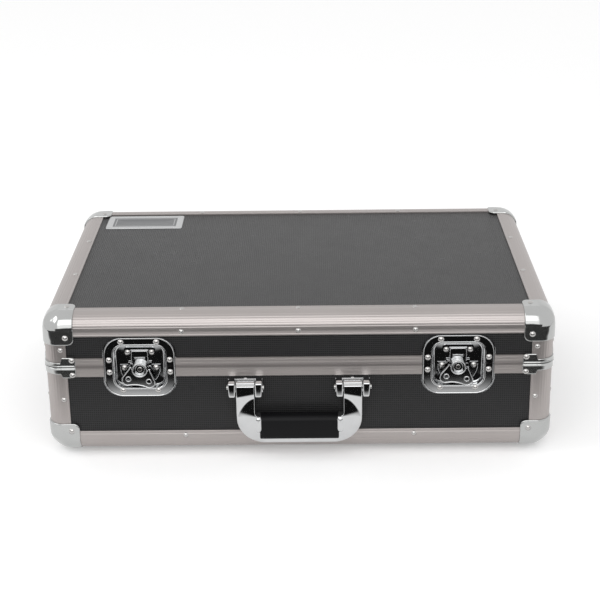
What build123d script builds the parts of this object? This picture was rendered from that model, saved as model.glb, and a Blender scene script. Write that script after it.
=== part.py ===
from build123d import *
import math
import os

# A flight case for a rack-width CD player: a shallow lid and base of laminated
# plywood in aluminium edge angles, steel ball corners, two recessed butterfly
# latches, a hanging carrying handle and two hinges at the back.
# Millimetres. X runs left to right, Y from the front to the back, Z up.
# The body is drawn with its centre on X = Y = 0 and its feet on Z = 0, and
# export() slides it along Y so that the origin is under the whole object's middle.

# Body
BODY_W = 560.0
BODY_D = 376.0
BODY_H = 164.0
PARTING_H = BODY_H * 103.4 / 164
LID_H = BODY_H - PARTING_H
FOOT_CLEARANCE = 7.0
BOTTOM = FOOT_CLEARANCE
PARTING = BOTTOM + PARTING_H
TOP = BOTTOM + BODY_H

# Panels and edge angles
PANEL_T = 8.0
SEAT_GAP = 0.1
ANGLE_LEG = 25.0
ANGLE_T = 1.6
ANGLE_R = 17.0
ANGLE_WEB_T = 1.5
LIP_T = 1.4
LIP_REACH = 8.0
CHANNEL = ANGLE_T + PANEL_T + SEAT_GAP
INNER_FACE = CHANNEL + LIP_T
ANGLE_CORE = ANGLE_R - 0.8
PANEL_EDGE = ANGLE_CORE + SEAT_GAP
ANGLE_END = ANGLE_LEG + 0.2

# Closing bars at the parting line
LID_BAR_H = 10.3
BASE_BAR_H = 11.8
LID_WEB_H = 5.6
BASE_WEB_H = 3.0
TONGUE_T = 2.0
TONGUE_H = 4.0
TONGUE_DEPTH = 6.2
GROOVE_GAP = 0.8
GROOVE_ROOM = 0.5
MITRE_REACH = INNER_FACE + 1.0

# Steel corners
SHEET_T = 1.2
SHEET_GAP = 0.1
BALL_LEG = 34.5
BALL_TAB_R = 7.0
BALL_RIVET = 25.5
MID_LEG = 35.0
MID_BAND_END = 19.3
LID_MID_BAND_H = 5.4
LID_MID_TAB_H = 11.7
BASE_MID_BAND_H = 8.5
BASE_MID_TAB_H = 13.0
MID_RIVET = 31.0
LID_MID_RIVET_H = 8.3
BASE_MID_RIVET_H = 9.4
MID_HALF_GAP = 0.15

# Rivets and screws
RIVET_SHANK_R = 1.6
RIVET_GAP = 0.1
RIVET_TAIL = 0.8
SMALL_HEAD_R = 2.9
SMALL_HEAD_H = 1.5
LARGE_HEAD_R = 3.3
LARGE_HEAD_H = 1.7
ANGLE_RIVET = 19.3
WIDE_RIVET_INSET = 152.5
WIDE_RIVET_PITCH = BODY_W / 2 - WIDE_RIVET_INSET
DEEP_RIVET_INSET = 130.0
DEEP_RIVET_PITCH = BODY_D / 2 - DEEP_RIVET_INSET
LID_UPRIGHT_RIVET_H = 20.1
BASE_UPRIGHT_RIVET_H = 63.8
SCREW_R = 2.0
SCREW_HEAD_R = 3.6
SCREW_HEAD_H = 2.2

# Recessed latches
LATCH_INSET = 105.1
LATCH_X = BODY_W / 2 - LATCH_INSET
FLANGE_W = 78.5
FLANGE_DROP = 26.5
FLANGE_UP = LID_H - FLANGE_DROP
FLANGE_DOWN = 35.7
FLANGE_R = 20.0
DISH_T = 1.2
TUB_W = 55.0
FLANGE_BAND = 9.5
TUB_UP = FLANGE_UP - FLANGE_BAND
TUB_DOWN = 25.4
TUB_R = 10.0
TUB_FLOOR = 7.0
DISH_HALF_GAP = 0.15
CUTOUT_GAP = 0.3
FLANGE_FACE = ANGLE_T - DISH_T
LATCH_TOP_RIVET_EDGE = 4.9
LATCH_TOP_RIVET = (19.5, FLANGE_UP - LATCH_TOP_RIVET_EDGE)
LATCH_SIDE_RIVET_X = 33.4
LATCH_LID_SIDE_RIVET_H = 7.9
LATCH_BASE_SIDE_RIVET_H = 6.7
LATCH_BOTTOM_RIVET = (19.5, 28.6)

# Latch mechanism, with depths measured in from the front face of the case
BOSS_DROP = 3.6
PLATE_R = 22.4
PLATE_T = 1.2
PLATE_RIVET_X = 17.4
RUN_GAP = 0.2
HOOK_T = 1.2
HOOK_HALF_W = 9.6
HOOK_YOKE_HALF_W = 12.8
HOOK_YOKE_UP = 7.0
HOOK_YOKE_DOWN = 14.5
HOOK_WINDOW = (12.0, 4.6)
KEEPER_T = 1.1
KEEPER_HALF_W = 17.2
KEEPER_DROP = 9.7
KEEPER_H = TUB_UP - KEEPER_DROP
HOOK_OVER_KEEPER = 2.4
HOOK_UP = KEEPER_H + HOOK_OVER_KEEPER
HOOK_WINDOW_DROP = 7.7
HOOK_WINDOW_H = HOOK_UP - HOOK_WINDOW_DROP
KEEPER_TALL = 11.6
KEEPER_R = 4.0
KEEPER_RIVET_X = 13.1
CAM_THROW = 2.5
ECCENTRIC_R = 6.2
YOKE_GAP = 0.7
BOSS_R = 8.6
BOSS_FACE = -1.5
BOSS_DISH_R = 6.6
BOSS_DISH_DEPTH = 2.6
PIVOT_R = 2.0
PIVOT_GAP = 0.05
PIVOT_HEAD_R = 2.6
PIVOT_HEAD_H = 1.0
WING_T = 1.5
WING_FACE = -1.4
WING_TILT = 8.0
WING_RING_GAP = 0.5
WING_ARM_R = 1.8
WING_ARM_OUT = 11.4
WING_LOBE = (11.6, -13.4)
WING_LOBE_R = 7.2
WING_HOLE = (11.3, -12.3)
WING_HOLE_R = 2.0
WING_DIP_R = 34.6
TRUNNION_R = 0.6
TRUNNION_GAP = 0.05

# Handle
HANDLE_X = 59.0
BRACKET_W = 39.0
BRACKET_H = 20.0
BRACKET_T = 1.5
LUG_T = 9.0
LUG_R = 9.6
HANDLE_PIN_DROP = 22.0
HANDLE_PIN_OUT = 9.0
HANDLE_PIN_R = 2.5
HANDLE_PIN_GAP = 0.08
HANDLE_PIN_END = 1.0
BARREL_R = 8.5
ARM_W = 20.6
ARM_T = 5.0
BAIL_BOTTOM = 18.4
BAIL_OUTER_R = 30.0
BAIL_INNER_R = 5.0
BAIL_SHOULDER = 49.0
BAIL_BAR_TOP = 31.0
GRIP_HALF_W = 43.6
GRIP_BOTTOM = 23.6
GRIP_TOP = 49.0
GRIP_T = 15.6
GRIP_R = 6.5
GRIP_GAP = 0.1
BRACKET_SCREW_H = 6.0

# Hinges
HINGE_INSET = 130.0
HINGE_X = BODY_W / 2 - HINGE_INSET
HINGE_W = 72.0
HINGE_T = 1.5
HINGE_AXIS_OUT = 5.2
KNUCKLE_R = 4.0
KNUCKLE_COUNT = 5
KNUCKLE_GAP = 0.4
HINGE_PIN_R = 1.8
HINGE_PIN_GAP = 0.05
HINGE_PIN_HEAD_R = 2.8
HINGE_PIN_HEAD_T = 0.8
LID_LEAF_H = 26.0
BASE_LEAF_H = 32.0
LEAF_HALF_GAP = 0.5
LEAF_WEB = 3.6
HINGE_RIVET_X = 26.0
LID_HINGE_RIVET_H = 19.0
BASE_HINGE_RIVET_H = 23.0

# Lining, feet and name plate
FOAM_SIDE_GAP = 0.5
FOAM_SEAT_GAP = 0.3
FOAM_FLOOR_T = 10.0
FOAM_WALL_T = 18.0
FOAM_RIM_DROP = 8.0
DIVIDER_T = 15.0
DIVIDER_INSET = 84.0
DIVIDER_Y = BODY_D / 2 - DIVIDER_INSET
LID_PAD_T = 12.0
FOOT_INSET = 54.0
FOOT_X = BODY_W / 2 - FOOT_INSET
FOOT_Y = BODY_D / 2 - FOOT_INSET
FOOT_R = 11.0
FOOT_TAPER = 1.5
FOOT_POCKET = 3.4
PLATE_W = 97.0
PLATE_D = 48.6
PLATE_LEFT = 33.0
PLATE_BACK = 30.0
PLATE_EDGE = 8.0
PLATE_THICK = 1.0
PLATE_FIELD_DROP = 0.4

# Places worked out from the sizes above
LEFT, RIGHT, FRONT, BACK = -BODY_W / 2, BODY_W / 2, -BODY_D / 2, BODY_D / 2
BOSS_Z = PARTING - BOSS_DROP
PLATE_FACE = TUB_FLOOR - PLATE_T
HOOK_BACK = PLATE_FACE - RUN_GAP
HOOK_FACE = HOOK_BACK - HOOK_T
BOSS_BACK = HOOK_FACE - RUN_GAP
TRUNNION_DEPTH = WING_FACE + WING_T / 2
HANDLE_AXIS_Y = FRONT - HANDLE_PIN_OUT
HANDLE_AXIS_Z = PARTING - HANDLE_PIN_DROP
HINGE_AXIS_Y = BACK + HINGE_AXIS_OUT
FRONT_REACH = HANDLE_PIN_OUT + LUG_R
BACK_REACH = HINGE_AXIS_OUT + KNUCKLE_R
FRAME_Y = (FRONT_REACH - BACK_REACH) / 2

nodes = {}
fasteners = {"lid": [], "base": [], "screws": []}


def block(x, y, z):
    """A box between two limits along each axis."""
    size = (x[1] - x[0], y[1] - y[0], z[1] - z[0])
    return Pos(sum(x) / 2, sum(y) / 2, sum(z) / 2) * Box(*size)


def flip(shape, plane):
    return mirror(shape, about=plane)


def four_corners(shape):
    """The front left piece and its three mirror images."""
    front = [shape, flip(shape, Plane.YZ)]
    return front + [flip(piece, Plane.XZ) for piece in front]


def upside_down(shape):
    """A piece drawn downwards from Z = 0, turned to stand upwards from it."""
    return flip(shape, Plane.XY)


def facing_front(sketch, depth, thickness, x=0.0, z=0.0):
    """A sketch drawn as seen from the front, given its thickness inwards."""
    plane = Plane(origin=(x, FRONT + depth, z), x_dir=(1, 0, 0), z_dir=(0, -1, 0))
    return extrude(plane * sketch, amount=-thickness)


def along_x(sketch, length):
    """A section drawn in Y and Z, carried along X and centred on it."""
    plane = Plane(origin=(-length / 2, 0, 0), x_dir=(0, 1, 0), z_dir=(1, 0, 0))
    return extrude(plane * sketch, amount=length)


def outline(points):
    return make_face(Polyline(*points, close=True))


def rect(x, y):
    return Pos(sum(x) / 2, sum(y) / 2) * Rectangle(x[1] - x[0], y[1] - y[0])


# Rivets and screws are placed first in a list, and every piece they cross is bored.
def fasten(body, place, outward, head_r, head_h, shank_r, length):
    fasteners[body].append((Vector(*place), Vector(*outward), head_r, head_h, shank_r, length))


def rivet(body, place, outward, small=False, length=INNER_FACE + RIVET_TAIL):
    head = (SMALL_HEAD_R, SMALL_HEAD_H) if small else (LARGE_HEAD_R, LARGE_HEAD_H)
    fasten(body, place, outward, *head, RIVET_SHANK_R, length)


def fastener_solid(place, outward, head_r, head_h, shank_r, length):
    """A domed head, a spherical cap, on a round shank that runs inwards."""
    ball_r = (head_r**2 + head_h**2) / (2 * head_h)
    cap = Pos(0, 0, head_h - ball_r) * Sphere(ball_r)
    cap &= Pos(0, 0, head_h / 2) * Cylinder(head_r, head_h)
    shank = Pos(0, 0, -length / 2) * Cylinder(shank_r, length)
    return Plane(origin=place, z_dir=outward) * (cap + shank)


def fastener_bore(place, outward, head_r, head_h, shank_r, length):
    bore = Pos(0, 0, -length / 2) * Cylinder(shank_r + RIVET_GAP, length + RIVET_GAP)
    return Plane(origin=place, z_dir=outward) * bore


def place_rivets():
    outward = {"front": (0, -1, 0), "back": (0, 1, 0), "left": (-1, 0, 0), "right": (1, 0, 0)}
    through_sheet = INNER_FACE + RIVET_TAIL + SHEET_GAP + SHEET_T
    proud = SHEET_GAP + SHEET_T
    wide = (-WIDE_RIVET_PITCH, 0.0, WIDE_RIVET_PITCH)
    deep = (-DEEP_RIVET_PITCH, DEEP_RIVET_PITCH)
    for body, level, up in (("lid", TOP, 1), ("base", BOTTOM, -1)):
        side_z = level - up * ANGLE_RIVET
        for x in wide:
            for y, face in ((FRONT, "front"), (BACK, "back")):
                rivet(body, (x, y, side_z), outward[face], small=True)
                in_y = y * (1 - ANGLE_RIVET / abs(y))
                rivet(body, (x, in_y, level), (0, 0, up), small=True)
        for y in deep:
            for x, face in ((LEFT, "left"), (RIGHT, "right")):
                rivet(body, (x, y, side_z), outward[face], small=True)
                in_x = x * (1 - ANGLE_RIVET / abs(x))
                rivet(body, (in_x, y, level), (0, 0, up), small=True)
    levels = (
        ("lid", TOP - BALL_RIVET, TOP, 1, PARTING + LID_UPRIGHT_RIVET_H,
         PARTING + LID_MID_RIVET_H),
        ("base", BOTTOM + BALL_RIVET, BOTTOM, -1, BOTTOM + BASE_UPRIGHT_RIVET_H,
         PARTING - BASE_MID_RIVET_H),
    )
    for body, ball_z, level, up, upright_z, mid_z in levels:
        for sx in (-1, 1):
            for sy in (-1, 1):
                x, y = sx * BODY_W / 2, sy * BODY_D / 2
                out_x, out_y = x + sx * proud, y + sy * proud
                far_x, far_y = x - sx * BALL_RIVET, y - sy * BALL_RIVET
                rivet(body, (far_x, out_y, ball_z), (0, sy, 0), length=through_sheet)
                rivet(body, (out_x, far_y, ball_z), (sx, 0, 0), length=through_sheet)
                rivet(body, (far_x, far_y, level + up * proud), (0, 0, up), length=through_sheet)
                in_x, in_y = x - sx * ANGLE_RIVET, y - sy * ANGLE_RIVET
                rivet(body, (in_x, y, upright_z), (0, sy, 0), small=True)
                rivet(body, (x, in_y, upright_z), (sx, 0, 0), small=True)
                mid_x, mid_y = x - sx * MID_RIVET, y - sy * MID_RIVET
                rivet(body, (mid_x, out_y, mid_z), (0, sy, 0), length=through_sheet)
                rivet(body, (out_x, mid_y, mid_z), (sx, 0, 0), length=through_sheet)


def place_latch_rivets():
    flange_y = FRONT + FLANGE_FACE
    through = INNER_FACE + RIVET_TAIL - FLANGE_FACE
    for latch_x in (-LATCH_X, LATCH_X):
        for side in (-1, 1):
            spots = (
                ("lid", LATCH_TOP_RIVET[0], LATCH_TOP_RIVET[1]),
                ("lid", LATCH_SIDE_RIVET_X, LATCH_LID_SIDE_RIVET_H),
                ("base", LATCH_SIDE_RIVET_X, -LATCH_BASE_SIDE_RIVET_H),
                ("base", LATCH_BOTTOM_RIVET[0], -LATCH_BOTTOM_RIVET[1]),
            )
            for body, x, z in spots:
                place = (latch_x + side * x, flange_y, PARTING + z)
                rivet(body, place, (0, -1, 0), length=through)
            keeper = (latch_x + side * KEEPER_RIVET_X, FRONT + TUB_FLOOR - KEEPER_T,
                      PARTING + KEEPER_H)
            rivet("lid", keeper, (0, -1, 0), length=KEEPER_T + DISH_T)
            ear = (latch_x + side * PLATE_RIVET_X, FRONT + PLATE_FACE, BOSS_Z)
            rivet("base", ear, (0, -1, 0), length=PLATE_T + DISH_T)


def place_hinge_rivets():
    leaf_y = BACK - ANGLE_T + HINGE_T
    through = INNER_FACE - ANGLE_T + HINGE_T + RIVET_TAIL
    for hinge_x in (-HINGE_X, HINGE_X):
        for x in (-HINGE_RIVET_X, 0.0, HINGE_RIVET_X):
            lid_place = (hinge_x + x, leaf_y, PARTING + LID_HINGE_RIVET_H)
            base_place = (hinge_x + x, leaf_y, PARTING - BASE_HINGE_RIVET_H)
            rivet("lid", lid_place, (0, 1, 0), length=through)
            rivet("base", base_place, (0, 1, 0), length=through)


# Panels: laminated plywood sheets whose edges sit in the angles' channels.
def make_panels():
    half_w, half_d = BODY_W / 2 - PANEL_EDGE, BODY_D / 2 - PANEL_EDGE
    skin, core = ANGLE_T, ANGLE_T + PANEL_T
    rows = (
        ("lid", (TOP - core, TOP - skin), (PARTING + LID_WEB_H + SEAT_GAP, TOP - PANEL_EDGE), "top"),
        ("base", (BOTTOM + skin, BOTTOM + core),
         (BOTTOM + PANEL_EDGE, PARTING - BASE_WEB_H - SEAT_GAP), "bottom"),
    )
    for body, flat_z, side_z, flat_name in rows:
        nodes[f"{body}_{flat_name}_panel"] = block((-half_w, half_w), (-half_d, half_d), flat_z)
        front = block((-half_w, half_w), (FRONT + skin, FRONT + core), side_z)
        left = block((LEFT + skin, LEFT + core), (-half_d, half_d), side_z)
        nodes[f"{body}_back_panel"] = flip(front, Plane.XZ)
        nodes[f"{body}_front_panel"] = front - tub_cutouts()
        nodes[f"{body}_left_panel"] = left
        nodes[f"{body}_right_panel"] = flip(left, Plane.YZ)


# Edge angles: a rounded outer corner, two legs, a hollow core and two inner lips.
def angle_section():
    """Drawn with the outer faces on Y = 0 and Z = 0, and the case at +Y, -Z."""
    leg, t, core, lip = ANGLE_LEG, ANGLE_T, ANGLE_CORE, ANGLE_CORE + LIP_REACH
    points = [
        (leg, 0), (leg, -t), (core, -t), (core, -CHANNEL), (lip, -CHANNEL),
        (lip, -INNER_FACE), (core, -INNER_FACE), (core, -core), (INNER_FACE, -core),
        (INNER_FACE, -lip), (CHANNEL, -lip), (CHANNEL, -core), (t, -core), (t, -leg),
        (0, -leg), (0, -ANGLE_R),
    ]
    bend = 1 - math.sqrt(0.5)
    start, middle = points[-1], (ANGLE_R * bend, -ANGLE_R * bend)
    edges = Polyline(*points) + ThreePointArc(start, middle, (ANGLE_R, 0))
    edges += Line((ANGLE_R, 0), points[0])
    wall = core - ANGLE_WEB_T
    inner_r = ANGLE_R - t
    reach = ANGLE_R - math.sqrt(inner_r**2 - (ANGLE_R - wall) ** 2)
    turn = ANGLE_R - inner_r * math.sqrt(0.5)
    hollow = Polyline((reach, -wall), (wall, -wall), (wall, -reach))
    hollow += ThreePointArc((wall, -reach), (turn, -turn), (reach, -wall))
    return make_face(edges) - make_face(hollow)


def make_angles():
    section = angle_section()
    wide = along_x(section, BODY_W - 2 * ANGLE_END)
    deep = Rot(0, 0, -90) * along_x(section, BODY_D - 2 * ANGLE_END)
    for body, level, turn in (("lid", TOP, lambda s: s), ("base", BOTTOM, upside_down)):
        front = Pos(0, FRONT, level) * turn(wide)
        left = Pos(LEFT, 0, level) * turn(deep)
        nodes[f"{body}_front_angle"] = front
        nodes[f"{body}_back_angle"] = flip(front, Plane.XZ)
        nodes[f"{body}_left_angle"] = left
        nodes[f"{body}_right_angle"] = flip(left, Plane.YZ)
    spans = (
        ("lid", PARTING + LID_WEB_H + SEAT_GAP, TOP - ANGLE_END),
        ("base", BOTTOM + ANGLE_END, PARTING - BASE_WEB_H - SEAT_GAP),
    )
    for body, low, high in spans:
        upright = Rot(0, -90, 0) * along_x(section, high - low)
        upright = Pos(LEFT, FRONT, (low + high) / 2) * upright
        nodes[f"{body}_corner_angles"] = Compound(children=four_corners(upright))


# Closing bars: a tongue on the base fits a groove in the lid all the way round.
def lid_bar_section():
    """Drawn from the outer face, Y = 0, with the parting line on Z = 0."""
    body = rect((0, INNER_FACE), (0, LID_BAR_H))
    body -= rect((ANGLE_T, CHANNEL), (LID_WEB_H, LID_BAR_H))
    groove = (TONGUE_DEPTH - GROOVE_GAP, TONGUE_DEPTH + TONGUE_T + GROOVE_GAP)
    return body - rect(groove, (0, TONGUE_H + GROOVE_ROOM))


def base_bar_section():
    body = rect((0, INNER_FACE), (-BASE_BAR_H, 0))
    body -= rect((ANGLE_T, CHANNEL), (-BASE_BAR_H, -BASE_WEB_H))
    return body + rect((TONGUE_DEPTH, TONGUE_DEPTH + TONGUE_T), (-BASE_WEB_H, TONGUE_H))


def mitred(bar, length):
    """Cuts the bar's ends to 45 degrees and rounds them like the case's corners."""
    half, reach = length / 2, MITRE_REACH
    plan = outline([(-half, 0), (half, 0), (half - reach, reach), (reach - half, reach)])
    plan &= Pos(0, length / 2) * RectangleRounded(length, length, ANGLE_R)
    tall = LID_BAR_H + BASE_BAR_H
    return bar & (Pos(0, 0, -tall) * extrude(plan, amount=2 * tall))


def leg_notches(length, walls):
    """Room at both ends, off the web, for the legs of the upright angles."""
    far, near = length / 2 + 1, length / 2 - ANGLE_LEG - SEAT_GAP
    return [block((-far, -near), (-1, MITRE_REACH), walls), block((near, far), (-1, MITRE_REACH), walls)]


def make_closing_bars():
    rows = (
        ("lid", lid_bar_section(), (LID_WEB_H, LID_BAR_H + 1)),
        ("base", base_bar_section(), (-BASE_BAR_H - 1, -BASE_WEB_H)),
    )
    for body, section, walls in rows:
        wide = mitred(along_x(section, BODY_W), BODY_W) - leg_notches(BODY_W, walls)
        deep = mitred(along_x(section, BODY_D), BODY_D) - leg_notches(BODY_D, walls)
        deep = Rot(0, 0, -90) * deep
        front = Pos(0, FRONT, PARTING) * wide
        left = Pos(LEFT, 0, PARTING) * deep
        nodes[f"{body}_front_closing_bar"] = front - flange_seats() - tub_cutouts()
        nodes[f"{body}_back_closing_bar"] = flip(front, Plane.XZ) - hinge_seats()
        nodes[f"{body}_left_closing_bar"] = left
        nodes[f"{body}_right_closing_bar"] = flip(left, Plane.YZ)


# Steel corners
def ball_corner():
    """The cap over the front left top corner, pressed from sheet."""
    outer, r = SHEET_GAP + SHEET_T, ANGLE_R + SHEET_GAP + SHEET_T

    def rounded(offset, size, radius, tab_r):
        cube = block((-offset, size), (-offset, size), (-size, offset))
        near = cube.edges().filter_by(
            lambda e: sum(abs(c) > size - 1e-6 for c in tuple(e.center())) == 0)
        cube = fillet(near, radius)
        if tab_r:
            far = cube.edges().filter_by(GeomType.LINE).filter_by(
                lambda e: sum(abs(abs(c) - size) < 1e-6 for c in tuple(e.center())) == 2)
            cube = fillet(far, tab_r)
        return cube

    shell = rounded(outer, BALL_LEG, r, BALL_TAB_R)
    shell -= rounded(SHEET_GAP, 2 * BALL_LEG, ANGLE_R + SHEET_GAP, 0)
    return Pos(LEFT, FRONT, 0) * shell


def corner_wrap(start, end, low, high):
    """Sheet bent round the front left upright, between two reaches from the corner."""
    size = 4 * MID_LEG
    outer, inner = SHEET_GAP + SHEET_T, SHEET_GAP

    def plan(offset):
        side = size + 2 * offset
        return Pos(size / 2, size / 2) * RectangleRounded(side, side, ANGLE_R + offset)

    ring = plan(outer) - plan(inner)
    ring &= rect((-outer, end), (-outer, end))
    if start:
        ring -= rect((-outer, start), (-outer, start))
    wrap = Pos(0, 0, low) * extrude(ring, amount=high - low)
    return Pos(LEFT, FRONT, PARTING) * wrap


def make_corners():
    ball = ball_corner()
    for body, piece in (("lid", Pos(0, 0, TOP) * ball), ("base", Pos(0, 0, BOTTOM) * upside_down(ball))):
        nodes[f"{body}_ball_corners"] = Compound(children=four_corners(piece))
    lid = corner_wrap(0, MID_LEG, MID_HALF_GAP, LID_MID_BAND_H)
    lid += corner_wrap(MID_BAND_END, MID_LEG, MID_HALF_GAP, LID_MID_TAB_H)
    base = corner_wrap(0, MID_LEG, -BASE_MID_BAND_H, -MID_HALF_GAP)
    base += corner_wrap(MID_BAND_END, MID_LEG, -BASE_MID_TAB_H, -MID_HALF_GAP)
    nodes["lid_mid_corners"] = Compound(children=four_corners(lid))
    nodes["base_mid_corners"] = Compound(children=four_corners(base))


# Latch dishes: a flanged tub pressed in two halves that part with the lid.
def latch_outline(width, up, down, radius, grow=0.0):
    shape = RectangleRounded(width + 2 * grow, up + down + 2 * grow, radius + grow)
    return Pos(0, (up - down) / 2) * shape


def both_latches(shape_at):
    return [shape_at(-LATCH_X), shape_at(LATCH_X)]


def flange_seats():
    sketch = latch_outline(FLANGE_W, FLANGE_UP, FLANGE_DOWN, FLANGE_R, CUTOUT_GAP)
    return both_latches(
        lambda x: facing_front(sketch, -TUB_FLOOR, TUB_FLOOR + ANGLE_T, x, PARTING))


def tub_cutouts():
    sketch = latch_outline(TUB_W, TUB_UP, TUB_DOWN, TUB_R, DISH_T + CUTOUT_GAP)
    depth = TUB_FLOOR + DISH_T + CUTOUT_GAP
    through = facing_front(sketch, -TUB_FLOOR, TUB_FLOOR + depth, 0, PARTING)
    return both_latches(lambda x: Pos(x, 0, 0) * through)


def make_dishes():
    flange = latch_outline(FLANGE_W, FLANGE_UP, FLANGE_DOWN, FLANGE_R)
    tub = latch_outline(TUB_W, TUB_UP, TUB_DOWN, TUB_R, DISH_T)
    room = latch_outline(TUB_W, TUB_UP, TUB_DOWN, TUB_R)
    dish = facing_front(flange, FLANGE_FACE, DISH_T, 0, PARTING)
    dish += facing_front(tub, FLANGE_FACE, TUB_FLOOR + DISH_T - FLANGE_FACE, 0, PARTING)
    dish -= facing_front(room, -TUB_FLOOR, 2 * TUB_FLOOR, 0, PARTING)
    wide, deep = (-FLANGE_W, FLANGE_W), (FRONT - TUB_FLOOR, FRONT + 2 * TUB_FLOOR)
    upper = dish & block(wide, deep, (PARTING + DISH_HALF_GAP, PARTING + FLANGE_W))
    lower = dish & block(wide, deep, (PARTING - FLANGE_W, PARTING - DISH_HALF_GAP))
    for side, x in (("left", -LATCH_X), ("right", LATCH_X)):
        nodes[f"{side}_latch_upper_dish"] = Pos(x, 0, 0) * upper
        nodes[f"{side}_latch_lower_dish"] = Pos(x, 0, 0) * lower


# Latch mechanism: turning the wing turns an eccentric, which slides the hook.
def latch_keeper():
    sketch = Pos(0, KEEPER_H) * RectangleRounded(2 * KEEPER_HALF_W, KEEPER_TALL, KEEPER_R)
    return facing_front(sketch, TUB_FLOOR - KEEPER_T, KEEPER_T, 0, PARTING)


def latch_base_plate():
    sketch = Circle(PLATE_R) & rect((-PLATE_R, PLATE_R), (-PLATE_R, BOSS_DROP - MID_HALF_GAP))
    sketch &= rect((-PLATE_R, PLATE_R), (BOSS_DROP - TUB_DOWN + RUN_GAP, PLATE_R))
    sketch -= Circle(PIVOT_R + PIVOT_GAP)
    return facing_front(sketch, PLATE_FACE, PLATE_T, 0, BOSS_Z)


def latch_hook():
    """A flat hook whose yoke slot takes the eccentric, drawn from the pivot."""
    top = HOOK_UP + BOSS_DROP
    sketch = rect((-HOOK_HALF_W, HOOK_HALF_W), (0, top))
    sketch += rect((-HOOK_YOKE_HALF_W, HOOK_YOKE_HALF_W), (-HOOK_YOKE_DOWN, HOOK_YOKE_UP))
    slot_w = 2 * (ECCENTRIC_R + CAM_THROW + YOKE_GAP)
    slot_h = 2 * (ECCENTRIC_R + YOKE_GAP)
    sketch -= Pos(0, -CAM_THROW) * RectangleRounded(slot_w, slot_h, ECCENTRIC_R)
    sketch -= Pos(0, HOOK_WINDOW_H + BOSS_DROP) * Rectangle(*HOOK_WINDOW)
    return facing_front(sketch, HOOK_FACE, HOOK_T, 0, BOSS_Z)


def latch_cam():
    """The dished boss, its eccentric underneath and the wing's two trunnions."""
    cam = facing_front(Circle(BOSS_R), BOSS_FACE, BOSS_BACK - BOSS_FACE, 0, BOSS_Z)
    dish = facing_front(Circle(BOSS_DISH_R), BOSS_FACE, BOSS_DISH_DEPTH, 0, BOSS_Z)
    throw = Pos(0, -CAM_THROW) * Circle(ECCENTRIC_R)
    cam += facing_front(throw, BOSS_BACK, HOOK_BACK - BOSS_BACK, 0, BOSS_Z)
    cam -= facing_front(Circle(PIVOT_R + PIVOT_GAP), BOSS_FACE, HOOK_BACK - BOSS_FACE, 0, BOSS_Z)
    pin = Pos(0, FRONT + TRUNNION_DEPTH, BOSS_Z) * Rot(0, 90, 0)
    pin = pin * Cylinder(TRUNNION_R, 2 * WING_ARM_OUT)
    return cam + tilted(pin) - dish


def tilted(shape):
    """Turns a piece about the latch's pivot to the angle at which the wing rests."""
    return Pos(0, 0, BOSS_Z) * Rot(0, WING_TILT, 0) * Pos(0, 0, -BOSS_Z) * shape


def latch_wing():
    """A heart-shaped plate hinged on the boss, with a hole in each lobe."""
    ring = BOSS_R + WING_RING_GAP
    lobe_x, lobe_z = WING_LOBE
    lobes = [Pos(side * lobe_x, lobe_z) * Circle(WING_LOBE_R) for side in (-1, 1)]
    flank = math.hypot(lobe_x - WING_ARM_OUT, lobe_z)
    lean = math.atan2(lobe_x - WING_ARM_OUT, -lobe_z) + math.asin(WING_LOBE_R / flank)
    touch = (lobe_x + WING_LOBE_R * math.cos(lean), lobe_z + WING_LOBE_R * math.sin(lean))
    body = outline([(-WING_ARM_OUT, 0), (WING_ARM_OUT, 0), touch, (lobe_x, lobe_z),
                    (-lobe_x, lobe_z), (-touch[0], touch[1])])
    floor_z = lobe_z - WING_LOBE_R
    body += rect((-lobe_x, lobe_x), (floor_z, lobe_z))
    sag = math.sqrt(WING_DIP_R**2 - lobe_x**2)
    body -= Pos(0, floor_z - sag) * Circle(WING_DIP_R)
    arm = (ring, WING_ARM_OUT)
    body += rect(arm, (-ring, WING_ARM_R)) + rect((-arm[1], -arm[0]), (-ring, WING_ARM_R))
    sketch = body + lobes[0] + lobes[1] - Circle(ring)
    for side in (-1, 1):
        sketch -= Pos(side * WING_HOLE[0], WING_HOLE[1]) * Circle(WING_HOLE_R)
    wing = facing_front(sketch, WING_FACE, WING_T, 0, BOSS_Z)
    axis = Pos(0, FRONT + TRUNNION_DEPTH, BOSS_Z) * Rot(0, 90, 0)
    wing -= axis * Cylinder(TRUNNION_R + TRUNNION_GAP, 4 * WING_ARM_OUT)
    return tilted(wing)


def latch_pivot():
    """The rivet that the cam turns on, with its head in the dished boss."""
    seat = BOSS_FACE + BOSS_DISH_DEPTH - PIVOT_GAP
    shank = facing_front(Circle(PIVOT_R), seat, TUB_FLOOR + DISH_T - seat, 0, BOSS_Z)
    head = facing_front(Circle(PIVOT_HEAD_R), seat - PIVOT_HEAD_H, PIVOT_HEAD_H, 0, BOSS_Z)
    return shank + fillet(head.edges().sort_by(Axis.Y)[0], PIVOT_HEAD_H / 2)


def make_mechanisms():
    cam, wing, hook = latch_cam(), latch_wing(), latch_hook()
    for side, x in (("left", -LATCH_X), ("right", LATCH_X)):
        nodes[f"{side}_latch_cam"] = Pos(x, 0, 0) * cam
        nodes[f"{side}_latch_wing"] = Pos(x, 0, 0) * wing
        nodes[f"{side}_latch_hook"] = Pos(x, 0, 0) * hook
        bore = facing_front(Circle(PIVOT_R + PIVOT_GAP), 0, 2 * TUB_FLOOR, x, BOSS_Z)
        nodes[f"{side}_latch_lower_dish"] -= bore
    for name, piece in (("latch_keepers", latch_keeper()), ("latch_base_plates", latch_base_plate())):
        nodes[name] = Compound(children=both_latches(lambda x: Pos(x, 0, 0) * piece))


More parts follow.
